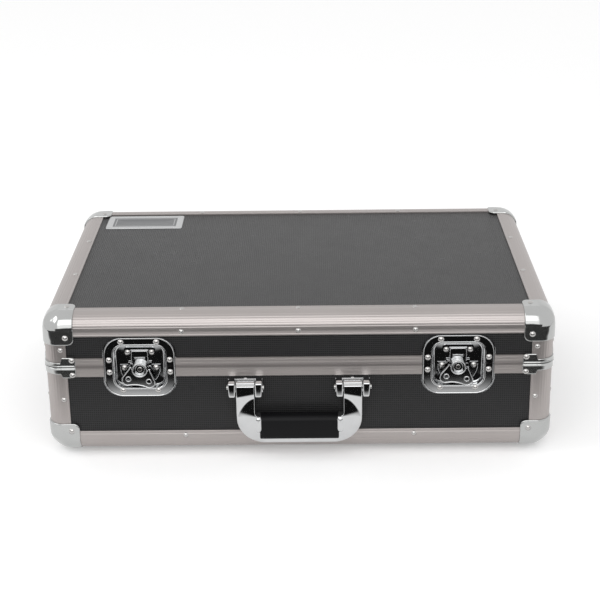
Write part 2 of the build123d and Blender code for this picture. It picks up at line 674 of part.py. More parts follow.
# Handle: a flat U-shaped bail in two lugged brackets, with a moulded grip.
def handle_bracket():
    seat = FRONT + ANGLE_T
    half_w, half_h = BRACKET_W / 2, BRACKET_H / 2
    z = (HANDLE_AXIS_Z - half_h, HANDLE_AXIS_Z + half_h)
    bracket = block((-half_w, half_w), (seat - BRACKET_T, seat), z)
    bore = Pos(0, HANDLE_AXIS_Y, HANDLE_AXIS_Z) * Rot(0, 90, 0)
    lug = rect((HANDLE_AXIS_Y, seat), (-LUG_R, LUG_R)) + Pos(HANDLE_AXIS_Y, 0) * Circle(LUG_R)
    for side in (-1, 1):
        middle = side * (half_w - LUG_T / 2)
        bracket += Pos(middle, 0, HANDLE_AXIS_Z) * along_x(lug, LUG_T)
    return bracket - bore * Cylinder(HANDLE_PIN_R + HANDLE_PIN_GAP, 2 * BRACKET_W)


def bail_outline():
    """The bail as seen from the front, drawn from the floor of the case."""
    out = HANDLE_X + ARM_W / 2
    inner = HANDLE_X - ARM_W / 2
    top = HANDLE_AXIS_Z - BOTTOM
    plate = Pos(0, (BAIL_BOTTOM + top) / 2) * Rectangle(2 * out, top - BAIL_BOTTOM)
    low = plate.vertices().group_by(Axis.Y)[0]
    plate = fillet(low, BAIL_OUTER_R)
    span = top - BAIL_SHOULDER
    gap = Pos(0, BAIL_SHOULDER + span) * Rectangle(2 * inner, 2 * span)
    gap = fillet(gap.vertices().group_by(Axis.Y)[0], BAIL_INNER_R)
    grip_w = GRIP_HALF_W + GRIP_GAP
    plate -= gap
    return plate - rect((-grip_w, grip_w), (BAIL_BAR_TOP, BAIL_SHOULDER + 1))


def make_handle():
    arm_y = HANDLE_AXIS_Y - FRONT - ARM_T / 2
    bail = facing_front(bail_outline(), arm_y, ARM_T, 0, BOTTOM)
    pins = []
    for x in (-HANDLE_X, HANDLE_X):
        axis = Pos(x, HANDLE_AXIS_Y, HANDLE_AXIS_Z) * Rot(0, 90, 0)
        bail += axis * Cylinder(BARREL_R, ARM_W)
        bail -= axis * Cylinder(HANDLE_PIN_R + HANDLE_PIN_GAP, 2 * ARM_W)
        pins.append(axis * Cylinder(HANDLE_PIN_R, BRACKET_W + 2 * HANDLE_PIN_END))
    nodes["handle_bail"] = bail
    section = Pos(HANDLE_AXIS_Y, BOTTOM + (GRIP_BOTTOM + GRIP_TOP) / 2)
    section = section * RectangleRounded(GRIP_T, GRIP_TOP - GRIP_BOTTOM, GRIP_R)
    slot_z = (0, BOTTOM + BAIL_BAR_TOP + GRIP_GAP)
    slot = ARM_T / 2 + GRIP_GAP
    section -= rect((HANDLE_AXIS_Y - slot, HANDLE_AXIS_Y + slot), slot_z)
    nodes["handle_grip"] = along_x(section, 2 * GRIP_HALF_W)
    bracket = handle_bracket()
    nodes["handle_brackets"] = Compound(
        children=[Pos(-HANDLE_X, 0, 0) * bracket, Pos(HANDLE_X, 0, 0) * bracket])
    nodes["handle_pins"] = Compound(children=pins)
    inside, face = FRONT + ANGLE_T + PANEL_T, FRONT + ANGLE_T - BRACKET_T
    for x in (-HANDLE_X, HANDLE_X):
        for dz in (-BRACKET_SCREW_H, BRACKET_SCREW_H):
            fasten("screws", (x, inside, HANDLE_AXIS_Z + dz), (0, 1, 0),
                   SCREW_HEAD_R, SCREW_HEAD_H, SCREW_R, inside - face)


# Hinges: two leaves with five knuckles on a headed pin.
def hinge_seats():
    half_w = HINGE_W / 2 + CUTOUT_GAP
    z = (PARTING - BASE_LEAF_H, PARTING + BASE_LEAF_H)
    return [block((x - half_w, x + half_w), (BACK - ANGLE_T, BACK + 1), z)
            for x in (-HINGE_X, HINGE_X)]


def hinge_leaf(up, height, odd):
    """One leaf, drawn from the pin: up is 1 on the lid and -1 on the base."""
    near, far = up * LEAF_HALF_GAP, up * height
    plate_y = (-HINGE_AXIS_OUT - ANGLE_T, -HINGE_AXIS_OUT - ANGLE_T + HINGE_T)
    leaf = block((-HINGE_W / 2, HINGE_W / 2), plate_y, (min(near, far), max(near, far)))
    pitch = HINGE_W / KNUCKLE_COUNT
    web_z = (min(near, up * LEAF_WEB), max(near, up * LEAF_WEB))
    for index in range(KNUCKLE_COUNT):
        if index % 2 == odd:
            continue
        start = -HINGE_W / 2 + index * pitch
        length = pitch - KNUCKLE_GAP
        middle = start + pitch / 2
        leaf += Pos(middle, 0, 0) * Rot(0, 90, 0) * Cylinder(KNUCKLE_R, length)
        web_x = (middle - length / 2, middle + length / 2)
        leaf += block(web_x, (plate_y[0], 0), web_z)
    leaf -= Rot(0, 90, 0) * Cylinder(HINGE_PIN_R + HINGE_PIN_GAP, 2 * HINGE_W)
    return Pos(0, HINGE_AXIS_Y, PARTING) * leaf


def make_hinges():
    pin = Rot(0, 90, 0) * Cylinder(HINGE_PIN_R, HINGE_W)
    for side in (-1, 1):
        end = side * (HINGE_W + HINGE_PIN_HEAD_T) / 2
        pin += Pos(end, 0, 0) * Rot(0, 90, 0) * Cylinder(HINGE_PIN_HEAD_R, HINGE_PIN_HEAD_T)
    pieces = {
        "hinge_lid_leaves": hinge_leaf(1, LID_LEAF_H, 0),
        "hinge_base_leaves": hinge_leaf(-1, BASE_LEAF_H, 1),
        "hinge_pins": Pos(0, HINGE_AXIS_Y, PARTING) * pin,
    }
    for name, piece in pieces.items():
        nodes[name] = Compound(children=[Pos(x, 0, 0) * piece for x in (-HINGE_X, HINGE_X)])


# Lining, feet and name plate
def make_lining():
    half_w = BODY_W / 2 - ANGLE_CORE - FOAM_SIDE_GAP
    half_d = BODY_D / 2 - ANGLE_CORE - FOAM_SIDE_GAP
    low = BOTTOM + INNER_FACE + FOAM_SEAT_GAP
    floor_top, rim = low + FOAM_FLOOR_T, PARTING - FOAM_RIM_DROP
    in_w, in_d = half_w - FOAM_WALL_T, half_d - FOAM_WALL_T
    nodes["base_foam_floor"] = block((-half_w, half_w), (-half_d, half_d), (low, floor_top))
    front = block((-half_w, half_w), (-half_d, -in_d), (floor_top, rim))
    left = block((-half_w, -in_w), (-in_d, in_d), (floor_top, rim))
    nodes["base_foam_walls"] = Compound(
        children=[front, flip(front, Plane.XZ), left, flip(left, Plane.YZ)])
    divider_y = (DIVIDER_Y, DIVIDER_Y + DIVIDER_T)
    side = in_w - FOAM_SEAT_GAP
    nodes["foam_divider"] = block((-side, side), divider_y, (floor_top + FOAM_SEAT_GAP, rim))
    pad_top = TOP - INNER_FACE - FOAM_SEAT_GAP
    nodes["lid_foam_pad"] = block((-half_w, half_w), (-half_d, half_d), (pad_top - LID_PAD_T, pad_top))


def make_feet():
    seat = BOTTOM + ANGLE_T
    foot = Cone(FOOT_R - FOOT_TAPER, FOOT_R, seat, align=(Align.CENTER, Align.CENTER, Align.MIN))
    foot -= Cylinder(SCREW_HEAD_R + CUTOUT_GAP, 2 * FOOT_POCKET)
    feet = [Pos(sx * FOOT_X, sy * FOOT_Y, 0) * foot for sx in (-1, 1) for sy in (-1, 1)]
    nodes["rubber_feet"] = Compound(children=feet)
    length = seat - FOOT_POCKET + PANEL_T
    for sx in (-1, 1):
        for sy in (-1, 1):
            fasten("screws", (sx * FOOT_X, sy * FOOT_Y, FOOT_POCKET), (0, 0, -1),
                   SCREW_HEAD_R, SCREW_HEAD_H, SCREW_R, length)


def make_name_plate():
    seat = TOP - ANGLE_T
    x = (LEFT + PLATE_LEFT, LEFT + PLATE_LEFT + PLATE_W)
    y = (BACK - PLATE_BACK - PLATE_D, BACK - PLATE_BACK)
    plate = block(x, y, (seat, seat + PLATE_THICK))
    top_edges = plate.faces().sort_by(Axis.Z)[-1].edges()
    plate = chamfer(top_edges, PLATE_FIELD_DROP)
    field_x = (x[0] + PLATE_EDGE, x[1] - PLATE_EDGE)
    field_y = (y[0] + PLATE_EDGE, y[1] - PLATE_EDGE)
    field = block(field_x, field_y, (seat + PLATE_THICK - PLATE_FIELD_DROP, seat + PLATE_THICK))
    nodes["name_plate"] = plate - field


def bore_for_fasteners():
    """Every piece that a rivet or screw crosses gets its hole."""
    bores = [fastener_bore(*spec) for group in fasteners.values() for spec in group]
    boxes = [bore.bounding_box() for bore in bores]
    for name, piece in nodes.items():
        own = piece.bounding_box()
        crossing = [bore for bore, box in zip(bores, boxes) if meets(own, box)]
        if crossing:
            nodes[name] = piece - crossing


def add_fasteners():
    names = {"lid": "lid_rivets", "base": "base_rivets", "screws": "base_screws"}
    pivot = latch_pivot()
    for group, specs in fasteners.items():
        solids = [fastener_solid(*spec) for spec in specs]
        if group == "base":
            solids += both_latches(lambda x: Pos(x, 0, 0) * pivot)
        nodes[names[group]] = Compound(children=solids)


def meets(a, b):
    low_a, high_a, low_b, high_b = (tuple(v) for v in (a.min, a.max, b.min, b.max))
    return all(low_a[i] < high_b[i] and low_b[i] < high_a[i] for i in range(3))


def export():
    os.makedirs("parts", exist_ok=True)
    for name, piece in nodes.items():
        solids = [solid.moved(Location((0, FRAME_Y, 0))) for solid in piece.solids()]
        shape = solids[0] if len(solids) == 1 else Compound(children=solids)
        export_step(shape, f"parts/{name}.step")
    print(len(nodes), "nodes; origin is", FRAME_Y, "mm in front of the body's middle")


place_rivets()
place_latch_rivets()
place_hinge_rivets()
make_panels()
make_angles()
make_closing_bars()
make_corners()
make_dishes()
make_mechanisms()
make_handle()
make_hinges()
make_lining()
make_feet()
make_name_plate()
bore_for_fasteners()
add_fasteners()
export()
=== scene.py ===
import math

import bmesh
import bpy
import numpy as np
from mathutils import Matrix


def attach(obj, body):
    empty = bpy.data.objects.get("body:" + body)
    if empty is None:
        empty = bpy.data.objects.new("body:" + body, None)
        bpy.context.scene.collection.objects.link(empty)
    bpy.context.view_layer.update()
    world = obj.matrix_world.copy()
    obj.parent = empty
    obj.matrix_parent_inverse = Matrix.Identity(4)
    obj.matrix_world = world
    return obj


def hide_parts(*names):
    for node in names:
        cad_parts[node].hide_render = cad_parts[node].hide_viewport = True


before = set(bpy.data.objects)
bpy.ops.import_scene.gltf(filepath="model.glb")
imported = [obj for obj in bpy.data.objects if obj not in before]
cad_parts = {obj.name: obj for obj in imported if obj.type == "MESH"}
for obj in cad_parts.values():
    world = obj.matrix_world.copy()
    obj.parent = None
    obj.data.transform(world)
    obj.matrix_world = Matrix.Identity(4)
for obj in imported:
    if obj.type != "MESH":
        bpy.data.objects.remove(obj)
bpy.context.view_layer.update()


# Panels: 8 mm plywood faced with a black laminate, embossed with a fine grid.
# Each sheet is slid into the channels of the aluminium edge angles, so only
# its face shows; the tops of the emboss are painted lighter in colour, a painted
# sheen, over a faint random cloudy tone.
class Wire:
    """A node's output. Python's operators on it add Math nodes to the material."""

    def __init__(self, tree, socket=None):
        self.tree, self.socket = tree, socket

    def node(self, kind, settings=None, values=None, output=0):
        """Adds a node: its settings first, then the numbers or links of its sockets."""
        made = self.tree.nodes.new(kind)
        for name, setting in (settings or {}).items():
            setattr(made, name, setting)
        for name, value in (values or {}).items():
            if isinstance(value, Wire):
                self.tree.links.new(value.socket, made.inputs[name])
            else:
                made.inputs[name].default_value = value
        return Wire(self.tree, made.outputs[output])

    def maths(self, operation, *values):
        """A Math node on these numbers or links."""
        return self.node("ShaderNodeMath", {"operation": operation}, dict(enumerate(values)))

    def __add__(self, other):
        return self.maths("ADD", self, other)

    def __sub__(self, other):
        return self.maths("SUBTRACT", self, other)

    def __rsub__(self, other):
        return self.maths("SUBTRACT", other, self)

    def __mul__(self, other):
        return self.maths("MULTIPLY", self, other)

    def __pow__(self, other):
        return self.maths("POWER", self, other)

    def __gt__(self, other):
        return self.maths("GREATER_THAN", self, other)

    def __abs__(self):
        return self.maths("ABSOLUTE", self)

    __radd__ = __add__
    __rmul__ = __mul__

    def wave(self, pitch):
        """A sine of this length in metres, from 0 to 1."""
        return self.maths("SINE", self * (2 * math.pi / pitch)) * 0.5 + 0.5

    def between(self, low, high):
        """0 below low, 1 above high and smooth between them."""
        values = {"Value": self, "From Min": low, "From Max": high}
        return self.node("ShaderNodeMapRange", {"interpolation_type": "SMOOTHSTEP"}, values)

    def shade(self, first, second):
        """The first colour where this is 0 and the second where it is 1."""
        values = {0: self, 6: (*first, 1), 7: (*second, 1)}
        return self.node("ShaderNodeMix", {"data_type": "RGBA"}, values, 2)

    def noise(self, scale, detail=3.0, rough=0.55):
        """Cloudy noise on this vector, from 0 to 1."""
        values = {"Vector": self, "Scale": scale, "Detail": detail, "Roughness": rough}
        return self.node("ShaderNodeTexNoise", None, values)

    def into(self, shader, socket):
        """Links this to a socket of another node."""
        self.tree.links.new(self.socket, shader.inputs[socket])

    def emboss(self, shader, height):
        """Feeds the shader's normal from this height, in metres at 1."""
        values = {"Height": self, "Distance": height, "Strength": 1.0}
        self.node("ShaderNodeBump", None, values).into(shader, "Normal")


def new_material(name, **constants):
    """A Principled material with its constants on the shader's own sockets."""
    material = bpy.data.materials.new(name)
    material.use_nodes = True
    shader = material.node_tree.nodes["Principled BSDF"]
    for socket, value in constants.items():
        shader.inputs[socket.replace("_", " ")].default_value = value
    place = Wire(material.node_tree).node("ShaderNodeTexCoord", output=3)
    return material, shader, place


def axes_of(place):
    """The X, Y and Z of a point as three numbers."""
    return [place.node("ShaderNodeSeparateXYZ", None, {0: place}, k) for k in range(3)]


def face_plane(place):
    """The two coordinates that run across a flat face, whichever way it faces."""
    x, y, z = axes_of(place)
    normal = place.node("ShaderNodeNewGeometry", output=1)
    nx, _, nz = axes_of(normal)
    on_side, on_top = abs(nx) > 0.5, abs(nz) > 0.5
    return x + (y - x) * on_side, z + (y - z) * on_top


def dress(names, material):
    """Gives CAD nodes this material."""
    for name in names:
        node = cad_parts[name]
        node.data.materials.clear()
        node.data.materials.append(material)


laminate, shader, place = new_material("black_laminate", Specular_IOR_Level=0.27)
across, along = face_plane(place)
EMBOSS_PITCH = 0.0023
ridges = across.wave(EMBOSS_PITCH) ** 3.0
weft = along.wave(EMBOSS_PITCH) ** 3.0
grid = ridges.maths("MAXIMUM", ridges, weft)
scuffs = place.noise(38.0, 6.0, 0.7)
clouds = place.noise(7.0)
# painted sheen: the grid's raised ridges are coloured lighter, mixed with random cloudy tone
ridge_sheen_and_clouds = grid * 0.85 + clouds * 0.15
ridge_sheen_and_clouds.shade((0.0010, 0.0010, 0.0011), (0.026, 0.026, 0.027)).into(shader, "Base Color")
(0.27 + scuffs * 0.14 - grid * 0.05).into(shader, "Roughness")
grid.emboss(shader, 0.00020)
SIDES = ("front", "back", "left", "right")
dress([f"{body}_{side}_panel" for body in ("base", "lid") for side in SIDES], laminate)
dress(["base_bottom_panel", "lid_top_panel"], laminate)


# Edge angles: one aluminium extrusion with a rounded, reeded corner and two
# flat legs, anodised to a warm silver. Sixteen lengths are cut square, and
# their outer ends hide under the steel corners.
MM = 0.001
HALF_W, FRONT, BACK = 280.0, -183.3, 192.7
MIDDLE_Y = (FRONT + BACK) / 2
HALF_D = (BACK - FRONT) / 2
BOTTOM, PARTING, TOP = 7.0, 110.4, 171.0
EDGE_R = 17.0
ANGLE_END = 25.2
UPRIGHT_ENDS = {"lid": (PARTING + 5.7, TOP - ANGLE_END), "base": (BOTTOM + ANGLE_END, PARTING - 3.1)}


def quads(rows, columns, round_rows=False, round_columns=False):
    """Faces of a grid: (i, j), (i+1, j), (i+1, j+1), (i, j+1), closed where it goes round."""
    i = np.arange(rows if round_rows else rows - 1)[:, None]
    j = np.arange(columns if round_columns else columns - 1)[None, :]
    i2, j2 = (i + 1) % rows, (j + 1) % columns
    around = [i * columns + j, i2 * columns + j, i2 * columns + j2, i * columns + j2]
    return np.stack(around, -1).reshape(-1, 4)


def joined(parts):
    """One array of points and one list of faces from several parts."""
    points, faces, count = [], [], 0
    for some_points, some_faces in parts:
        flat = np.asarray(some_points, float).reshape(-1, 3)
        points.append(flat)
        faces += [[int(k) + count for k in face] for face in some_faces]
        count += len(flat)
    return np.vstack(points), faces


def placed(part, signs=(1, 1, 1), shift=(0, 0, 0), order=(0, 1, 2)):
    """A copy with its axes in another order, mirrored by signs and then moved.
    Faces are turned over where that leaves the copy inside out."""
    points, faces = part
    moved = np.asarray(points, float).reshape(-1, 3)[:, list(order)] * signs + shift
    swaps = sum(order[a] > order[b] for a in range(3) for b in range(a + 1, 3))
    if np.prod(signs) * (-1) ** swaps < 0:
        faces = [list(face)[::-1] for face in faces]
    return moved, faces


def at_corners(part, level, up=1):
    """Four copies of a part, mirrored to face outwards at the case's upright edges."""
    return joined([placed(part, (sx, sy, up), (-sx * HALF_W, FRONT if sy > 0 else BACK, level))
                   for sx in (1, -1) for sy in (1, -1)])


def shaped(name, part, material, body, nodes=(), crease=38.0):
    """Makes a mesh of a part in mm, smooth but for edges sharper than the crease."""
    points, faces = part
    points = (np.asarray(points).reshape(-1, 3) * MM).tolist()
    mesh = bpy.data.meshes.new(name)
    mesh.from_pydata(points, [], [list(map(int, face)) for face in faces])
    work = bmesh.new()
    work.from_mesh(mesh)
    bmesh.ops.remove_doubles(work, verts=work.verts, dist=2e-6)
    bmesh.ops.dissolve_degenerate(work, edges=work.edges, dist=1e-6)
    work.to_mesh(mesh)
    work.free()
    mesh.polygons.foreach_set("use_smooth", np.ones(len(mesh.polygons), bool))
    mesh.set_sharp_from_angle(angle=math.radians(crease))
    mesh.materials.append(material)
    piece = bpy.data.objects.new(name, mesh)
    bpy.context.collection.objects.link(piece)
    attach(piece, body)
    if nodes:
        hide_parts(*nodes)
    return piece


def prism(section, length):
    """A closed section (a, b) carried along X: point = (x, a, b), with flat ends."""
    count = len(section)
    ends = [np.column_stack([np.full(count, x), section]) for x in (-length / 2, length / 2)]
    faces = [list(f) for f in quads(2, count, round_columns=True)]
    faces += [list(range(count)), list(range(2 * count - 1, count - 1, -1))]
    return np.vstack(ends), faces


def reeded_section():
    """The section from the outer faces a = 0 and b = 0, the case at +a, -b.
    Its rounding is r = EDGE_R - depth |cos|^5: eight crowned lands between grooves."""
    reeds, depth, steps = 8, 0.17, 14
    turn = np.linspace(0, math.pi / 2, reeds * steps + 1)
    fade = np.clip(np.minimum(turn, math.pi / 2 - turn) / 0.10, 0, 1)
    radius = EDGE_R - depth * fade * np.abs(np.cos(turn * 2 * reeds)) ** 5
    arc = np.column_stack([EDGE_R - radius * np.cos(turn), radius * np.sin(turn) - EDGE_R])
    leg = [(21.6, 0), (21.9, -0.22), (22.4, -0.22), (22.7, 0), (24.6, 0), (25, -0.4)]
    channel = [(25, -1.6), (16.2, -1.6), (16.2, -9.7), (24.2, -9.7), (24.2, -11.1), (16.2, -11.1)]
    first_leg = np.array(leg + channel)
    second_leg = np.column_stack([-first_leg[::-1, 1], -first_leg[::-1, 0]])
    return np.vstack([arc, first_leg, [(16.2, -16.2)], second_leg])


anodised, shader, place = new_material("anodised_aluminium", Metallic=0.88)
brushing = place.noise(700.0, 2.0)
patches = place.noise(9.0, 4.0)
mottle = patches * 0.6 + brushing * 0.4
mottle.shade((0.365, 0.335, 0.325), (0.445, 0.412, 0.400)).into(shader, "Base Color")
(0.30 + brushing * 0.12 + patches * 0.06).into(shader, "Roughness")
reeded = reeded_section()
wide = prism(reeded, 2 * (HALF_W - ANGLE_END))
deep = prism(reeded, 2 * (HALF_D - ANGLE_END))
for body, level, up in (("lid", TOP, 1), ("base", BOTTOM, -1)):
    for side, sign, y in (("front", 1, FRONT), ("back", -1, BACK)):
        shaped(f"{body}_{side}_reeded_angle", placed(wide, (1, sign, up), (0, y, level)),
               anodised, body, [f"{body}_{side}_angle"])
    for side, sign in (("left", 1), ("right", -1)):
        shaped(f"{body}_{side}_reeded_angle",
               placed(deep, (sign, 1, up), (-sign * HALF_W, MIDDLE_Y, level), (1, 0, 2)),
               anodised, body, [f"{body}_{side}_angle"])
for body, (low, high) in UPRIGHT_ENDS.items():
    upright = placed(prism(reeded, high - low), (1, -1, 1), (0, 0, (low + high) / 2), (1, 2, 0))
    shaped(f"{body}_reeded_uprights", at_corners(upright, 0),
           anodised, body, [f"{body}_corner_angles"])


# Closing bars: the pair of extrusions that meet at the parting line, a tongue
# on the base in a groove on the lid. They are mitred at the corners, and a few
# shallow lines run along their faces. Their colour is painted darker in a band
# either side of the parting line and along the lines: painted shade in the seam
# and in the grooves.
bar_finish, shader, place = new_material("bar_aluminium", Metallic=0.88)
_, _, height = axes_of(place)
above = height - PARTING * MM
lines = above.wave(0.0035) ** 8.0
brushing = place.noise(600.0, 2.0)
# painted shade: darkest at the parting line, fading out 3.8 mm either side of it
seam_shade = 1 - abs(above).between(0.0003, 0.0038)
# painted shade at the seam and in the lines, with random brushing
shade_and_brushing = seam_shade * 0.6 + lines * 0.2 + brushing * 0.2
shade_and_brushing.shade((0.50, 0.463, 0.448), (0.18, 0.165, 0.160)).into(shader, "Base Color")
(0.32 + brushing * 0.12).into(shader, "Roughness")
(0.0 - lines).emboss(shader, 0.00010)
dress([f"{body}_{side}_closing_bar" for body in ("base", "lid") for side in SIDES], bar_finish)


# Ball corners: caps pressed from nickel-plated sheet over each of the eight
# corners, rounder at the tip than along the edges, with a rounded tab on
# each face that a large rivet holds.
BALL_LEG, TIP_R, SHEET, LIFT = 34.5, 21.0, 1.2, 0.1


def smooth(t):
    """Eases from 0 to 1: t^2 (3 - 2 t), with t held from 0 to 1."""
    t = np.clip(t, 0, 1)
    return t * t * (3 - 2 * t)


def quarter_round(t):
    """Rises steeply, then levels out: sqrt(1 - (1 - t)^2), with t held from 0 to 1."""
    return np.sqrt(1 - (1 - np.clip(t, 0, 1)) ** 2)


def rounded_over(p, offset):
    """Wraps points of a cube's corner, at the origin, over a rounded corner.
    r runs from TIP_R at the tip to EDGE_R along the edges; the nearest core
    point is c = max(p, r), and the surface is c + (r + offset) (p - c)/|p - c|."""
    r = (TIP_R + (EDGE_R - TIP_R) * smooth((p.max(-1) - 6) / 22))[..., None]
    core = np.maximum(p, r)
    away = p - core
    away = away / np.linalg.norm(away, axis=-1, keepdims=True)
    return core + (r + offset[..., None]) * away


def ball_cap(leg, tab_r):
    """Three square faces (0, a, b), (a, 0, b), (a, b, 0), far corners rounded by
    p' = p sqrt(1 - q^2/2); the sheet is thicker towards the edges, away from its
    flat tabs, and its top curls down at its outline."""
    run = np.concatenate([
        np.linspace(0, 16.2, 18), np.linspace(16.6, 17.7, 7), np.linspace(18.4, leg - 1.6, 14),
        leg - 1.6 * np.cos(np.linspace(0.25, 1, 7) * math.pi / 2)])
    a, b = np.meshgrid(run, run, indexing="ij")
    p, q = (np.clip((v - leg + tab_r) / tab_r, 0, 1) for v in (a, b))
    corner = (p > 0) & (q > 0)
    pa, qb = p * np.sqrt(1 - q * q / 2), q * np.sqrt(1 - p * p / 2)
    a = np.where(corner, leg - tab_r + tab_r * pa, a)
    b = np.where(corner, leg - tab_r + tab_r * qb, b)
    inside = np.where(corner, tab_r * (1 - np.hypot(pa, qb)), leg - np.maximum(a, b))
    rise = quarter_round(inside / 1.5) * (1.30 - 0.30 * smooth((np.minimum(a, b) - 14.5) / 3.4))
    zero = np.zeros_like(a)
    parts = []
    for offset, outer in ((LIFT + SHEET * rise, True), (np.full_like(rise, LIFT), False)):
        for flat, turned in (((zero, a, b), True), ((a, zero, b), False), ((a, b, zero), True)):
            faces = quads(*a.shape)
            if turned == outer:
                faces = faces[:, ::-1]
            parts.append((rounded_over(np.stack(flat, -1), offset), faces))
    return joined(parts)


nickel, shader, place = new_material("nickel_plate", Metallic=0.95)
smudge = place.noise(24.0, 5.0, 0.65)
smudge.shade((0.415, 0.42, 0.415), (0.495, 0.50, 0.495)).into(shader, "Base Color")
(0.07 + smudge * 0.09).into(shader, "Roughness")
smudge.emboss(shader, 0.00005)
cap = ball_cap(BALL_LEG, tab_r=7.0)
for body, level, up in (("lid", TOP, -1), ("base", BOTTOM, 1)):
    shaped(f"{body}_ball_caps", at_corners(cap, level, up),
           nickel, body, [f"{body}_ball_corners"])


# Mid corners: bands of the same plated sheet bent round the uprights where
# the closing bars meet, with a rolled lip at the parting line and a riveted
# tab at each end.
def mid_band(band_h, tab_h):
    """Over s along two legs and the bend between them, and v from the parting line
    up: height = v h(s), and the sheet stands off by rise(distance to its outline)."""
    gap, nose_r, leg = 0.15, 4.5, 35.0 - EDGE_R
    half = leg + EDGE_R * math.pi / 4
    near_end = np.array([0.965, 0.98, 0.99, 0.995, 0.9985, 1])
    s = np.concatenate([-near_end[::-1], np.linspace(-0.95, 0.95, 150), near_end]) * half
    v = (1 - np.cos(np.linspace(0, math.pi, 26))) / 2
    s, v = np.meshgrid(s, v, indexing="ij")
    from_end = half - np.abs(s)
    h = tab_h + (band_h - tab_h) * smooth((from_end - 14.5) / 2.4)
    h = h - nose_r * (1 - quarter_round(from_end / nose_r))
    z = gap + (h - gap) * v
    inside = np.minimum(np.minimum(z - gap, h - z), from_end)
    rise = quarter_round(inside / 1.1)
    lip = 0.45 * np.exp(-((z - 1.3) / 0.7) ** 2) * np.clip(from_end / 2, 0, 1)
    turn = np.clip(s / EDGE_R, -math.pi / 4, math.pi / 4) + math.pi / 4
    run = s - (turn - math.pi / 4) * EDGE_R
    parts = []
    for offset, flip in ((LIFT + (SHEET + lip) * rise, False), (np.full_like(rise, LIFT), True)):
        r = EDGE_R + offset
        x = EDGE_R - r * np.cos(turn) + np.maximum(run, 0)
        y = EDGE_R - r * np.sin(turn) + np.maximum(-run, 0)
        faces = quads(*s.shape)
        parts.append((np.stack([x, y, z], -1), faces[:, ::-1] if flip else faces))
    return joined(parts)


for body, up, band_h, tab_h in (("lid", 1, 5.4, 11.7), ("base", -1, 8.5, 13.0)):
    shaped(f"{body}_mid_bands", at_corners(mid_band(band_h, tab_h), PARTING, up),
           nickel, body, [f"{body}_mid_corners"])


# Rivets: plated domed heads, 5.8 mm wide on the angles and 6.6 mm on the steel
# corners, latches and hinges, each over a bore in every piece it holds. The
# screws of the handle and the feet are plated to match.
rivet_finish, shader, place = new_material("rivet_nickel", Metallic=1.0)
speck = place.noise(300.0, 3.0)
speck.shade((0.40, 0.39, 0.38), (0.56, 0.55, 0.54)).into(shader, "Base Color")
(0.10 + speck * 0.12).into(shader, "Roughness")
dress(["lid_rivets", "base_rivets", "base_screws"], rivet_finish)


# Latch dishes: a flanged tub pressed from sheet in two halves that part with
# the lid, chromed, with a rolled bead round the opening. Eight rivets hold the
# flange, and the tub's floor carries the mechanism.
LATCH_X = 174.9
DISH_CUT = 0.15
TUB_DEPTH = 7.0


def half_outline(half_w, high, radius, side=9, bend=14, top=12):
    """Half a rounded rectangle from the parting line over the top and back down:
    straight, a quarter turn, straight, a quarter turn, straight."""
    radius = min(radius, half_w, max(high - DISH_CUT, 0))
    up = np.linspace(DISH_CUT, high - radius, side, endpoint=False)
    turn = np.linspace(0, math.pi / 2, bend, endpoint=False)
    left = np.concatenate([
        np.column_stack([np.full(side, -half_w), up]),
        np.column_stack([radius - half_w - radius * np.cos(turn), high - radius + radius * np.sin(turn)])])
    over = np.column_stack([np.linspace(radius - half_w, half_w - radius, top), np.full(top, high)])
    return np.vstack([left, over, left[::-1] * (-1, 1)])


def half_dish(flange_h, tub_h):
    """Outlines shrunk step by step from the flange's edge to the tub's middle, each
    at its depth behind the case's face: edge, flange, bead, wall, fillet, floor."""
    flange, tub = (39.25, flange_h, 20.0), (27.5, tub_h, 10.0)
    rim = flange[0] - tub[0]
    edge = [(0.0, 1.6), (0.0, 0.5), (0.10, 0.22), (0.3, 0.09), (0.6, 0.05), (0.9, 0.10), (1.15, 0.24)]
    flat = [(1.3, 0.36), (1.4, 0.39), (1.6, 0.40), (2.2, 0.40), (8.4, 0.40), (9.0, 0.40)]
    bead = [(10.1 + 0.75 * math.cos(v), 0.40 - 0.30 * math.sin(v)) for v in np.linspace(math.pi, 0, 9)]
    wall = [(11.3, 0.62), (11.6, 1.1), (11.75, 2.0), (11.9, 4.6), (12.2, 5.9), (12.9, 6.7), (14.0, TUB_DEPTH)]
    rows = []
    for step, y in edge + flat + bead + wall:
        step, inner = min(step, rim), max(step - rim, 0)
        half_w, high, radius = (f + (g - f) * step / rim for f, g in zip(flange, tub))
        if inner:
            half_w, high, radius = tub[0] - inner, tub[1] - inner, max(tub[2] - inner, 4)
        outline = half_outline(half_w, high, radius)
        rows.append(np.column_stack([outline[:, 0], np.full(len(outline), y), outline[:, 1]]))
    face = np.array(rows)
    middle = np.repeat([[[0.0, TUB_DEPTH, DISH_CUT]]], face.shape[1], 1)
    face = np.vstack([face, face[-1:] * (0.45, 1, 0.45) + (0, 0, 0.55 * DISH_CUT), middle])
    under = face[::-1] + (0, SHEET, 0)
    under[-6:, :, 1] = np.minimum(under[-6:, :, 1], edge[0][1])
    depth = face[::-1, :, 1]
    on_wall = (depth > 0.7) & (depth < 6.5)
    under[..., 0] += np.where(on_wall, np.sign(under[..., 0]) * SHEET, 0)
    under[..., 1] -= np.where(on_wall, SHEET, 0)
    loop = np.vstack([face, under])
    count, along = loop.shape[:2]
    faces = [list(f) for f in quads(count, along, round_rows=True)]
    faces += [[k * along for k in range(count)], [k * along + along - 1 for k in range(count)][::-1]]
    return loop.reshape(-1, 3), faces


